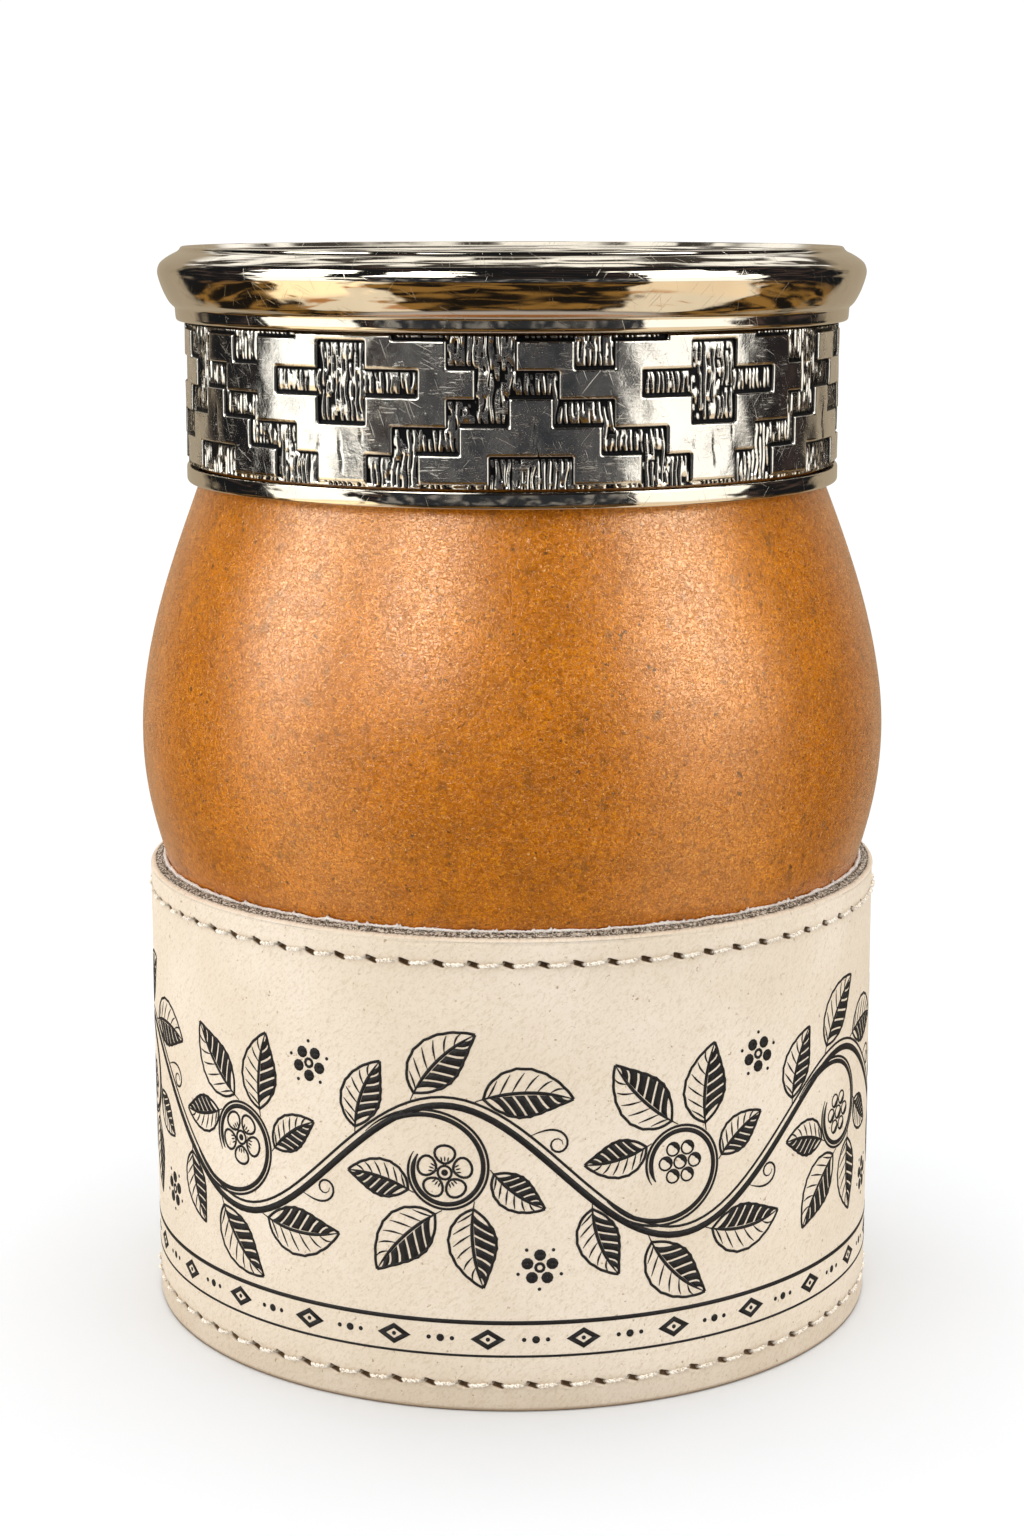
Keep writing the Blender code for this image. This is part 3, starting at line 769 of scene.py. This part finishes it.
def along_ridges(rng, heights, ridges, spacing):
    """Random numbers for each ridge that change smoothly with height. They lie between 0 and 1."""
    level = (heights - heights.min()) / spacing
    knots = rng.uniform(0, 1, (int(level.max()) + 3, ridges))
    index = level.astype(int)
    share = smoothstep(level - index, 0, 1)[:, None]
    return knots[index] * (1 - share) + knots[index + 1] * share


def chisel_marks(heights, columns):
    """How high the ground stands between the upright chisel cuts: 1 on a ridge, 0 in a cut."""
    rng = np.random.default_rng(41)
    ridges = columns // 4
    marks = np.zeros((len(heights), columns))
    ridge = smoothstep(along_ridges(rng, heights, ridges, 0.9), 0.06, 0.3)
    bridge = smoothstep(along_ridges(rng, heights, ridges, 0.5), 0.62, 0.8)
    for column, mark in enumerate((ridge, ridge, bridge, bridge)):
        marks[:, column::4] = mark
    return marks


def blurred(grid, across, up):
    """A grid averaged over its neighbours, wrapping round."""
    total = sum(np.roll(grid, shift, axis=1) for shift in range(-across, across + 1)) / (2 * across + 1)
    padded = np.pad(total, ((up, up), (0, 0)), mode="edge")
    return sum(padded[k : k + len(grid)] for k in range(2 * up + 1)) / (2 * up + 1)


def crack_marks(steps, heights):
    """Fine upright cracks in the raised metal, below each cross and between the crosses."""
    local = from_middle(steps)
    total = np.zeros((len(heights), len(steps)))
    for at, low, high, lean in CRACKS:
        middle = at + lean * (heights - low) + 0.02 * np.sin(3 * heights + 9 * at)
        ends = smoothstep(heights, low - 0.2, low + 0.2) * smoothstep(-heights, -high - 0.2, -high + 0.2)
        across = wrap(local[None, :] - middle[:, None], STEPS)
        total = np.maximum(total, bump_at(across, 0.04) * ends[:, None])
    return total


def add_band():
    columns = REPEATS * STEPS * STEP_COLUMNS
    steps = np.arange(columns) / STEP_COLUMNS - REPEATS * STEPS / 2
    heights = band_heights()
    z = heights[:, None]
    raised = raised_mask(steps, heights).astype(float)
    beside = blurred(raised, 1, 1)
    worn = 1 - smoothstep(beside, 0.7, 1.0)
    # Next to the walls the ground is a flat cut without ridges, left dark: oxide, and painted shadow at each
    # wall's foot.
    wall_foot_shadow = (1 - raised) * smoothstep(blurred(raised, 1, 2), 0.02, 0.15) * (z > BAND_FOOT + 0.4)
    marks = chisel_marks(heights, columns) * (1 - wall_foot_shadow)
    cracks = crack_marks(steps, heights)
    angle = ornament_angle(steps)
    wander = 0.11 * ripple(angle, z, 43, 30, 190, 2.4) / BAND_RADIUS * (1 - raised) * (beside < 0.05)
    hammered = 0.026 * ripple(angle, z, 42, 22, 70, 1.2)
    block = BAND_RELIEF - TOP_WEAR - EDGE_WEAR * worn - CRACK_DEPTH * cracks + hammered
    relief = np.where(raised > 0, block, CHISEL_HEIGHT * marks - GROUND_DEPTH)
    wear = np.where(raised > 0, (1 - cracks) * (1 - WORN_POLISH * worn), marks)
    ground = BAND_RADIUS - BAND_RELIEF
    radius = stacked(ground, ground + relief, ground, BAND_BORE, BAND_BORE)
    height = stacked(BAND_TOP, z, BAND_FOOT, BAND_FOOT, BAND_TOP)
    turn = stacked(angle, angle + wander, angle, angle, angle)
    values = {"wear": stacked(0.0, wear, 0.0, 0.0, 0.0), "around": angle * BAND_RADIUS * MM}
    mesh = turned("band_metal", radius, turn, height, values=values)
    metal = nickel_silver("worked_nickel_silver", (0.74, 0.71, 0.66), True)
    piece(mesh, metal, "gourd", ["engraved_band"])


def add_trim(material):
    """The plain rounded strip below the ornament."""
    upper = np.array([(-0.3, 0), (-0.06, -0.08), (0, -0.3)]) + (TRIM_RADIUS, TRIM_TOP)
    lower = np.array([(0, 0.35), (-0.04, 0.18), (-0.15, 0.05), (-0.35, 0)]) + (TRIM_RADIUS, TRIM_FOOT)
    rows = np.vstack([spline(upper, 5), spline(lower, 6), [(BAND_BORE, TRIM_FOOT), (BAND_BORE, TRIM_TOP)]])
    spun_metal("trim_metal", rows, TRIM_RADIUS, 0.03, (51, 12, 16, 0.5), material, "ferrule_trim_ring")


# The sleeve


def slot_shape(angle, height, row, phase):
    """How far each place is in the slanted slots of a row, and how far it is from the nearest one."""
    across = wrap(angle - phase, tau / STITCHES) * SLEEVE_RADIUS
    up = height - row + SLOT_FALL * across
    inside = np.exp(-((across / SLOT_LENGTH) ** 6) - (up / SLOT_WIDTH) ** 4)
    return inside, np.sqrt((across * 0.6 + 0.15) ** 2 + (up + 0.12) ** 2)


def sleeve_surface(angle, height):
    """The sleeve's outer radius, and how far each place is in a hole or the back seam, painted as shade."""
    slots, dimples = 0.0, 0.0
    for row, phase in ((ROW_TOP, TOP_PHASE), (ROW_BOTTOM, BOTTOM_PHASE)):
        slot, away = slot_shape(angle, height, row, phase)
        slots = slots + slot
        dimples = dimples + 0.07 * bump_at(height - row, 0.5) - 0.09 * bump_at(away - 0.42, 0.16)
    across = from_back(angle, SLEEVE_RADIUS)
    seam = (np.abs(across) < BUTT_HALF_GAP).astype(float)
    sunk = 0.12 * bump_at(across, 0.9)
    wavy = 0.06 * np.sin(9 * angle) + 0.05 * np.sin(23 * angle + 1)
    crease = 0.06 * bump_at(height - (SLEEVE_TOP - 0.82) + wavy, 0.1)
    uneven = 0.05 * ripple(angle, height, 61, 14, 6, 0.1) * smoothstep(height, 0.0, 4.0)
    radius = SLEEVE_RADIUS + uneven - dimples - SLOT_DEPTH * slots - BUTT_DEPTH * seam - sunk - crease
    return radius, np.clip(slots * 1.2 + 0.8 * seam, 0, 1)


def wall_heights():
    """The rows of the sleeve's outer face, closer together where the thread runs."""
    near = np.arange(-7, 8) * 0.11
    top_edge = SLEEVE_TOP - np.array([0.52, 0.62, 0.71, 0.8, 0.89, 0.98, 1.15, 1.5])
    middle = np.linspace(ROW_TOP - 1.3, ROW_BOTTOM + 1.3, 24)
    low_edge = np.array([1.9, 1.4, 0.9, 0.5])
    return np.concatenate([top_edge, (ROW_TOP + near)[::-1], middle, (ROW_BOTTOM + near)[::-1], low_edge])


def add_sleeve_wall():
    columns = STITCHES * 16
    angle = even_angles(columns, start=-pi + pi / columns)
    rng = np.random.default_rng(71)
    inside = SLEEVE_RADIUS - SLEEVE_PLY - 0.1
    heights = wall_heights()
    face, hole = sleeve_surface(angle, heights[:, None])

    across = np.linspace(0, 1, 7)[:, None]
    rough = rng.uniform(-1, 1, (7, columns))
    edge_radius = inside + across * (SLEEVE_RADIUS - EDGE_ROUND - inside) + 0.03 * rough * (across < 0.9)
    edge_height = CUT_TOP - CUT_FALL * across + 0.06 * rough * (across < 0.9)
    turn = np.linspace(pi / 2, 0, 5)[1:, None]
    round_radius = SLEEVE_RADIUS - EDGE_ROUND * (1 - np.cos(turn))
    round_height = CUT_TOP - CUT_FALL - EDGE_ROUND * (1 - np.sin(turn))
    foot = np.array([(SLEEVE_RADIUS - 0.05, 0.22), (SLEEVE_RADIUS - 0.2, 0.05), (SLEEVE_RADIUS - 0.4, 0.0)])
    inner = np.array([(inside, 0.0), (inside, 7.0), (inside, 30.0), (inside, SLEEVE_TOP - 0.6)])

    radius = stacked(edge_radius, round_radius, face, foot[:, :1], inner[:, :1])
    height = stacked(edge_height, round_height, heights[:, None], foot[:, 1:], inner[:, 1:])
    # The cut edge is fibrous, less so near its rounding, and has pits along one row, darkened with painted
    # shade.
    cut = np.zeros_like(radius)
    cut[:5] = 1.0
    cut[5] = 0.45
    cut[-len(inner) :] = 0.5
    hole_shades = np.zeros_like(radius)
    hole_shades[4] = 0.4 * (rough[4] > -0.4)
    # Painted shade in the stitch slots and the seam's gap.
    hole_shades[len(across) + len(turn) :][: len(heights)] = hole
    # Painted shade just below each stitch row; the leather also gets darker towards the foot.
    row_shade = bump_at(height - ROW_TOP + 0.1, 0.4) + bump_at(height - ROW_BOTTOM + 0.1, 0.4)
    darker_foot = 0.6 * smoothstep(-height, -0.55, -0.1) + 0.2 * smoothstep(-height, -5.0, -1.0)
    around = angle * SLEEVE_RADIUS * MM
    values = {"cut": cut, "hole": hole_shades, "row_shade_and_dark_foot": darker_foot + 0.22 * row_shade, "around": around}
    mesh = turned("sleeve_leather", radius, angle, height, values=values)
    piece(mesh, cream_leather(), "sleeve", ["sleeve_wall"])


def ragged_top(angle, seed):
    """How far the lining's torn upper edge rises and falls on its way round."""
    rng = np.random.default_rng(seed)
    jagged = rng.uniform(-1, 1, len(angle))
    tufts = np.maximum(rng.uniform(-9, 1, len(angle)), 0)
    wave = ripple(angle, 0.0, seed + 1, 24, 90, 0.0)
    return 0.06 * jagged + 0.3 * tufts + 0.07 * wave


def add_lining():
    angle = even_angles(1440)
    bore = LINING_RADIUS - LINING_PLY
    outer = LINING_RADIUS + 0.12
    top = LINING_TOP + 0.08 + ragged_top(angle, 81)
    lean = 0.05 * ripple(angle, 0.0, 83, 24, 160, 0.0)
    lip = bore + 0.12
    shoulder = CUT_TOP + 0.02 * ripple(angle, 0.0, 85, 24, 200, 0.0)
    radius = stacked(lip + 0.12 + lean, outer - 0.1, outer, outer, bore, bore + 0.02 + lean)
    height = stacked(top, shoulder, shoulder - 0.2, LINING_FOOT, LINING_FOOT, top - 0.08)
    felt = stacked(0.0, 1.0, 1.0, 0.0, 0.0, 0.0)
    mesh = turned("lining_suede", radius, angle, height, values={"felt": felt})
    pale = (1.0, 0.98, 0.94)
    material = suede("lining_suede", pale, (0.80, 0.75, 0.68), felted=True)
    piece(mesh, material, "sleeve", ["sleeve_lining"])
    add_fibres(lip, suede("loose_fibres", pale, (0.86, 0.82, 0.75)))


def add_fibres(radius, material):
    """Loose fibres along the torn edge."""
    rng = np.random.default_rng(91)
    lines, widths = [], []
    for _ in range(LOOSE_FIBRES):
        angle = rng.uniform(-pi, pi)
        length = rng.uniform(0.2, 0.55) + 0.6 * (rng.uniform() > 0.93)
        out, side = rng.uniform(-0.2, 0.8), rng.uniform(-2.2, 2.2)
        t = np.linspace(0, 1, 6)
        r = radius + rng.uniform(-0.05, 0.5) + out * length * t**1.5
        z = LINING_TOP - 0.12 + length * (0.55 * t - 0.6 * rng.uniform(0, 1) * t**2)
        lines.append(place(r, angle + side * length * t * 0.6 / radius, z))
        widths.append((0.03 - 0.02 * t) * MM)
    piece(tubes("lining_fibres", lines, widths, sides=4), material, "sleeve")


def add_base():
    edge, chamfer, floor = 0.6, 0.2, 2.0
    wall = BASE_RADIUS - 1.2
    stretches = (
        [(0, floor), (20, floor), (wall - edge, floor)],
        [(wall, floor + edge), (wall, BASE_TOP - chamfer), (wall + chamfer, BASE_TOP)],
        [(BASE_RADIUS - chamfer, BASE_TOP), (BASE_RADIUS, BASE_TOP - chamfer), (BASE_RADIUS, edge)],
        [(BASE_RADIUS - 0.15, 0.18), (BASE_RADIUS - edge, 0.0), (20, 0.0), (0, 0.0)],
    )
    rows = np.vstack([spline(stretch, 6) for stretch in stretches])
    mesh = turned("base_sole", rows[:, :1], even_angles(240), rows[:, 1:], closed=False)
    piece(mesh, sole_leather(), "sleeve", ["base_cup"])


def add_stitch_row(name, row, phase, stands_for, material, seed):
    """One thread for each stitch, out of one slot's lower end and into the next one's upper end."""
    rng = np.random.default_rng(seed)
    pitch = tau / STITCHES
    inset_angle = 0.44 / SLEEVE_RADIUS
    t = np.linspace(0, 1, 19)
    # Painted shade on the thread where it goes down into a hole, most at its far end.
    painted_shade = np.maximum(0.85 * smoothstep(t, 0.62, 0.95), 0.5 * smoothstep(-t, -0.1, 0.0))
    paths = []
    for stitch in range(STITCHES):
        start = phase + stitch * pitch + inset_angle
        angle = start + (pitch - 2 * inset_angle + rng.uniform(-0.003, 0.003)) * t
        rise = -0.5 + (0.6 + rng.uniform(-0.04, 0.04)) * (1 - np.abs(2 * t - 1) ** 5)
        rise = rise - 0.12 * smoothstep(t, 0.55, 0.9)
        slant = (0.14 + rng.uniform(-0.05, 0.05)) * (2 * t - 1)
        paths.append(place(SLEEVE_RADIUS + rise, angle, row + slant + rng.uniform(-0.05, 0.03)))
    mesh = twisted(name, paths, THREAD_RADIUS, 0.9, painted_shade)
    piece(mesh, material, "sleeve", [stands_for])


def add_sleeve_seam(material):
    outline = np.array([(SLEEVE_RADIUS, SLEEVE_TOP), (SLEEVE_RADIUS, 0)])
    heights = np.arange(ROW_BOTTOM + 2.4, ROW_TOP - 1.8, SEAM_STITCH)
    mesh = crossed_stitches("sleeve_cross_stitches", outline, heights, sunk=0.5, rise=0.6, over=0.14)
    piece(mesh, material, "sleeve", ["sleeve_seam_thread"])


# The print round the sleeve: a scroll of leafy branches over a narrow border. A flat place in it is given by
# its distance round the sleeve from the front, and its height.


def direction(heading):
    return np.stack([np.cos(heading), np.sin(heading)], axis=-1)


def walk(start, headings, length):
    """The line of points from a place, in equal steps with these headings."""
    steps = length / len(headings) * direction(headings)
    return np.array(start) + np.vstack([[0, 0], np.cumsum(steps, axis=0)])


def stroke(path, width, taper=0.12):
    """A drawn line of ink, narrower at its ends."""
    t = np.linspace(0, 1, len(path))
    ends = np.clip(np.minimum(t, 1 - t) / taper, 0.12, 1) ** 0.6 if taper else 1 + 0 * t
    half = sideways(path) * (width / 2 * ends)[:, None]
    return np.stack([path - half, path + half])


def ring(centre, inner, outer, start=0.0, end=tau, count=22):
    """A ring or arc of ink. The inner radius may be a row of numbers."""
    way = direction(np.linspace(start, end, count))
    radii = [np.broadcast_to(r, count)[:, None] for r in (inner, outer)]
    return np.stack([np.array(centre) + r * way for r in radii])


def dot(centre, radius, count=11):
    return ring(centre, 0.02, radius, count=count)


def petal_headings():
    """The directions of five petals from their middle."""
    return 0.3 + np.arange(5) * tau / 5


def leaf(start, heading, length, width, bend, dark_side=1):
    """A toothed leaf. One half is filled between its veins, the other one has drawn veins."""
    rib = walk(start, heading + bend * (np.arange(23) + 0.5) / 23, length)
    t = np.linspace(0, 1, len(rib))
    tooth = 1 + 0.07 * np.abs(np.sin(8 * pi * t))
    half = width / 2 * np.sin(pi * np.clip((t - 0.09) / 0.91, 0, 1) ** 0.8) ** 0.9 * tooth
    out = sideways(rib) * half[:, None]

    def at(along, share):
        places = [np.interp(along, t, r) + share * np.interp(along, t, o) for r, o in zip(rib.T, out.T)]
        return np.stack(places, axis=-1)

    parts = [stroke(rib, 0.36, taper=0.3)]
    for side in (-1, 1):
        parts.append(stroke(at(t[2:], side + 0 * t[2:]), 0.3, taper=0))
    for vein in range(6):
        from_rib = 0.12 + 0.125 * vein
        share, along = np.meshgrid(np.linspace(0.1, 1, 5), np.linspace(0.014, 0.111, 2))
        parts.append(at(from_rib + along + 0.16 * share, dark_side * share))
        share = np.linspace(0.05, 0.84, 6)
        parts.append(stroke(at(from_rib + 0.16 * share, -dark_side * share), 0.2, taper=0.4))
    return parts


def berries(centre, radius):
    """A round bunch of seven berries, each dark on one side."""
    size = radius / 3
    parts = []
    for berry in range(7):
        away = 0 if berry == 6 else 2.05 * size
        middle = centre + away * direction(berry * tau / 6)
        shade = size * (1 - 0.75 * np.sin(pi * np.linspace(0, 1, 14)))
        parts += [ring(middle, size - 0.2, size, count=15), ring(middle, shade, size - 0.1, -2.6, 0.9, 14)]
    return parts


def flower(centre, radius):
    """Five rounded petals round a dotted middle."""
    parts = [dot(centre, 0.36, 12), ring(centre, 0.6, 0.86)]
    turn = np.linspace(-pi, pi, 17)[:, None]
    for heading in petal_headings():
        reach = 0.95 + (radius - 0.95) * (0.5 + 0.5 * np.cos(turn)) ** 0.8
        swell = 0.37 * radius * np.sin(turn)
        loop = centre + reach * direction(heading) + swell * direction(heading + pi / 2)
        parts.append(stroke(loop, 0.28, taper=0))
        for lean in (-0.24, 0.0, 0.24):
            dash = np.linspace(1.2, 1.75, 4)[:, None] * direction(heading + lean)
            parts.append(stroke(centre + dash, 0.18, taper=0.4))
    return parts


def curl(start, heading, length, bend):
    """A tendril that coils more tightly towards its end."""
    return stroke(walk(start, heading + bend * np.linspace(0, 1, 23) ** 2, length), 0.24, 0.25)


def scroll_height(along):
    return SCROLL_SWING * np.cos(pi * along / HALF_WAVE)


def from_branch(at):
    """A place on the outer edge of the branch near a crest, and the branch's heading there."""
    rise = -SCROLL_SWING * pi / HALF_WAVE * sin(pi * at / HALF_WAVE)
    return (at, scroll_height(at) + 0.75), atan2(rise, 1)


def blossom(centre, radius):
    """A small dark blossom with dots round it."""
    parts = [ring(centre, 0.15 * radius, 0.32 * radius, count=11)]
    for heading in petal_headings():
        for turn, away, size in ((0, 0.72, 0.34), (pi / 5, 1.25, 0.1)):
            middle = centre + away * radius * direction(heading + turn)
            parts.append(dot(middle, size * radius))
    return parts


def half_wave(middle, side, fruit):
    """A crest of the scroll, or a trough if the side is -1, with leaves round it and a coiled twig in it."""
    t = np.linspace(0, 1, 60)
    coil = 3.6 + 5.5 * (1 - t) ** 4
    twig = coil[:, None] * direction(np.radians(157 - 370 * t))
    left = sideways(twig)
    parts = [stroke(twig + 0.3 * left, 0.28, 0.06), stroke(twig - 0.22 * left, 0.5, 0.06)]
    parts += berries(np.zeros(2), 2.5) if fruit else flower(np.zeros(2), 2.95)
    for share, lean, length in ((0.42, 0.75, 7.2), (0.545, 0.72, 9.6), (0.68, 0.66, 10.2), (0.82, 0.5, 7.6)):
        index = int(share * 59)
        along = twig[index + 1] - twig[index]
        heading = atan2(along[1], along[0])
        parts += leaf(twig[index] + 0.5 * left[index], heading + lean, length, 0.5 * length, 0.55, 1)
    for at, lean, length in ((-9.8, 0.85, 8.8), (-3.6, 0.78, 10.2), (3.2, 0.72, 10.4)):
        start, heading = from_branch(at)
        parts += leaf(start, heading + lean, length, 0.48 * length, -0.7, -1)
    start, heading = from_branch(8.9)
    parts.append(curl(start, heading + 1.1, 9.5, -8.0))
    parts += blossom(np.array([9.9, -10.2]), 1.9)
    return [part * (1, side) + (middle, SCROLL_MIDDLE) for part in parts]


def scroll_print():
    """The branch and everything that grows from it."""
    s = np.arange(-PRINT_REACH, PRINT_REACH + 0.1, 1.1)
    branch = np.stack([s, SCROLL_MIDDLE + scroll_height(s - SCROLL_START)], axis=1)
    left = sideways(branch)
    parts = [stroke(branch + 0.55 * left, 0.28, 0), stroke(branch - 0.35 * left, 0.72, 0)]
    first = int(np.ceil((-PRINT_REACH - SCROLL_START) / HALF_WAVE + 0.45))
    for k in range(first, first + HALF_WAVES):
        middle = SCROLL_START + k * HALF_WAVE
        if abs(middle) < PRINT_REACH - HALF_WAVE * 0.4:
            parts += half_wave(middle, 1 - 2 * (k % 2), k % 4 in (1, 2))
    return parts


def border_print():
    """Two rules with lozenges and dots between them."""
    s = np.arange(-PRINT_REACH, PRINT_REACH + 0.1, 1.3)
    rules = ((BORDER_TOP, 0.46), (BORDER_FOOT, 0.26))
    parts = [stroke(np.stack([s, height + 0 * s], axis=1), width, 0) for height, width in rules]
    middle = (BORDER_TOP + BORDER_FOOT) / 2
    places = HALF_WAVES * 5
    for k in range(places):
        along = -PRINT_REACH + (k + 0.5) * 2 * PRINT_REACH / places
        if k % 2:
            for away, size in ((0, 0.42), (-1.25, 0.24), (1.25, 0.24)):
                parts.append(dot((along + away, middle), size))
        else:
            parts.append(ring((0, 0), 0.55, 1.15, count=5) * (1.6, 1) + (along, middle))
            parts.append(dot((along, middle), 0.24, 9))
    return parts


def printed(name, parts):
    """A mesh of thin closed slabs of ink that lie on the sleeve."""
    points, quads, first = [], [], 0
    for part in parts:
        across, along = part[-1] - part[0], np.gradient(part[0], axis=0)
        if np.sum(along[:, 0] * across[:, 1] - along[:, 1] * across[:, 0]) < 0:
            part = part[::-1]
        rows, columns = part.shape[:2]
        angle, height = part[..., 0] / SLEEVE_RADIUS, part[..., 1]
        surface = sleeve_surface(angle, height)[0]
        points += [place(surface + lift, angle, height).reshape(-1, 3) for lift in (INK_LIFT, -INK_LIFT)]
        top = first + np.arange(rows * columns).reshape(rows, columns)
        low = top + rows * columns
        quads += [grid_quads(top, flipped=True), grid_quads(low)]
        around = np.concatenate([top[0, :-1], top[:-1, -1], top[-1, :0:-1], top[:0:-1, 0]])
        under = around + rows * columns
        quads.append(np.stack([around, under, np.roll(under, -1), np.roll(around, -1)], axis=-1))
        first += 2 * rows * columns
    return quad_mesh(name, np.vstack(points), np.vstack(quads))


def add_print():
    material = ink()
    piece(printed("sleeve_print", scroll_print()), material, "sleeve")
    piece(printed("sleeve_border", border_print()), material, "sleeve")


# The stage


def add_camera():
    data = bpy.data.cameras.new("camera")
    data.lens = LENS
    data.sensor_width = 36
    data.clip_start = 0.01
    camera = add_object("camera", data)
    camera.location = (0, -CAMERA_BACK * MM, CAMERA_HEIGHT * MM)
    camera.rotation_euler = (pi / 2 - CAMERA_PITCH, 0, 0)
    bpy.context.scene.camera = camera


def add_softbox(name, azimuth, elevation, radiance, colour):
    """A square softbox seen from the object at these angles in degrees. Azimuth 0 is the front."""
    a, e = radians(azimuth), radians(elevation)
    data = bpy.data.lights.new(name, "AREA")
    data.size = 2 * tan(SOFTBOX_SPREAD / 2)
    data.energy = radiance * pi * data.size**2
    data.color = colour
    light = add_object(name, data)
    way = Vector((sin(a) * cos(e), -cos(a) * cos(e), sin(e)))
    light.location = way + Vector((0, 0, 0.07))
    light.rotation_euler = way.to_track_quat("Z", "Y").to_euler()
    light.visible_camera = False
    light.visible_glossy = False
    return light


def add_lights(floor):
    """Soft lights from both sides and above. The side ones are kept off the floor."""
    kept_off = bpy.data.collections.new("kept_off")
    kept_off.objects.link(floor)
    kept_off.collection_objects[0].light_linking.link_state = "EXCLUDE"
    warm, neutral = (1.0, 0.99, 0.97), (0.99, 0.995, 1.0)
    key = add_softbox("key", -70, 12, 2.8, warm)
    fill = add_softbox("fill", 58, 18, 2.1, warm)
    for light in (key, fill):
        light.light_linking.receiver_collection = kept_off
    add_softbox("overhead", 180, 88.5, 4.5, neutral)


# Windows of light in the mirrored room: azimuths, elevations in degrees, and their colour.
WINDOWS = (
    ((-92, -62), (9, 50), (5.9, 5.9, 5.7)),
    ((-40, -18), (17, 52), (7.4, 7.4, 7.3)),
    ((44, 82), (9, 50), (5.5, 5.5, 5.3)),
    ((-90, -54), (-14, 9), (1.75, 1.74, 1.66)),
    ((44, 84), (-14, 9), (1.62, 1.59, 1.50)),
    ((-90, -54), (-36, -14), (1.80, 1.40, 0.88)),
    ((46, 84), (-34, -14), (1.15, 0.92, 0.64)),
)


def add_world():
    """A white studio to the camera, a dim room for the shading, and a mirrored one in the metal."""
    world = bpy.data.worlds.new("studio")
    world.use_nodes = True
    w = Graph(world.node_tree, "Generated")

    def noise(squeeze, detail, distortion=0.0):
        squeezed = w.node("ShaderNodeMapping", {"Vector": w.place, "Scale": squeeze}).outputs["Vector"]
        inputs = {"Vector": squeezed, "Scale": 1.0, "Detail": detail, "Distortion": distortion}
        return w.node("ShaderNodeTexNoise", inputs).outputs["Fac"]

    def both(first, second):
        return w.math("MULTIPLY", first, second)

    streaks = noise((3.68, 3.68, 12.8), 4.0, 0.6)
    waves = noise((5, 5, 5), 3.0)
    glints = noise((16, 16, 4), 3.0)
    screens = noise((9, 9, 3.5), 1.0)
    way = w.node("ShaderNodeSeparateXYZ", {0: w.place}).outputs
    azimuth = w.math("DEGREES", w.math("ARCTAN2", way["X"], both(way["Y"], -1.0)))
    azimuth = w.math("ADD", azimuth, w.span(waves, 0.2, 0.8, -9.17, 9.17))
    elevation = w.math("DEGREES", w.math("ARCSINE", way["Z"]))
    aside = w.math("ABSOLUTE", azimuth)

    room = w.mix(w.span(streaks, 0.5, 0.7), (0.013, 0.014, 0.016), (0.080, 0.055, 0.048))
    table = w.mix(w.span(streaks, 0.46, 0.62), (0.014, 0.011, 0.008), (0.34, 0.18, 0.045))
    sheen = w.mix(w.span(streaks, 0.57, 0.66), (1.05, 0.91, 0.70), (0.60, 0.28, 0.10))
    table = w.mix(w.within(aside, 47, 88, 3), table, sheen)
    tone = w.mix(w.within(elevation, -62, -17, 5), room, table)
    tone = w.mix(w.span(elevation, -60, -68), tone, (0.55, 0.50, 0.46))
    front = w.mix(w.span(glints, 0.46, 0.66), (0.034, 0.038, 0.046), (0.31, 0.30, 0.29))
    tone = w.mix(both(w.span(aside, 46, 42), w.within(elevation, -14, 6, 2)), tone, front)
    behind = w.span(aside, 128, 141)
    tone = w.mix(both(behind, w.span(elevation, 30, 20)), tone, (0.46, 0.385, 0.28))
    panel = w.mix(w.span(screens, 0.44, 0.54), (0.07, 0.063, 0.055), (1.35, 1.33, 1.28))
    tone = w.mix(both(behind, w.within(elevation, 24, 78, 4)), tone, panel)
    for azimuths, elevations, colour in WINDOWS:
        window = both(w.within(azimuth, *azimuths, 2), w.within(elevation, *elevations, 3))
        tone = w.mix(window, tone, colour)
    rays = w.node("ShaderNodeLightPath").outputs
    seen = w.mix(rays["Is Glossy Ray"], (0.34, 0.34, 0.34), tone)
    seen = w.mix(rays["Is Camera Ray"], seen, (1.05, 1.05, 1.05))
    w.feed(w.tree.nodes["Background"].inputs["Color"], seen)
    world.cycles.sampling_method = "NONE"
    bpy.context.scene.world = world


def add_floor():
    """A round white table top."""
    radius, thickness = 260.0, 6.0
    outline = [(0.0, 0.0), (radius - 1.0, 0.0), (radius, -1.0), (radius, -thickness), (0.0, -thickness)]
    rows = np.array(outline)
    mesh = turned("floor", rows[:, :1], even_angles(96), rows[:, 1:], closed=False)
    mesh.set_sharp_from_angle(angle=radians(35))
    s = Shader("white_table")
    tone = s.mix(s.noise(60, detail=2), (0.893, 0.908, 0.925), (0.913, 0.928, 0.945))
    mesh.materials.append(s.finish(Base_Color=tone, Roughness=0.8, Specular_IOR_Level=0.0))
    floor = add_object("floor", mesh)
    floor.visible_glossy = False
    return floor


bpy.context.scene.view_settings.view_transform = "Standard"
add_camera()
add_world()
add_lights(add_floor())
polished_silver = nickel_silver("polished_nickel_silver", (0.76, 0.70, 0.60), False)
cream_thread = thread("cream_thread", (0.94, 0.88, 0.78), (0.46, 0.34, 0.21))
add_cover()
add_cover_seam()
add_calabash()
add_rim(polished_silver)
add_band()
add_trim(polished_silver)
add_sleeve_wall()
add_lining()
add_base()
add_stitch_row("top_stitches", ROW_TOP, TOP_PHASE, "top_stitching", cream_thread, 101)
add_stitch_row("bottom_stitches", ROW_BOTTOM, BOTTOM_PHASE, "bottom_stitching", cream_thread, 102)
add_sleeve_seam(cream_thread)
add_print()
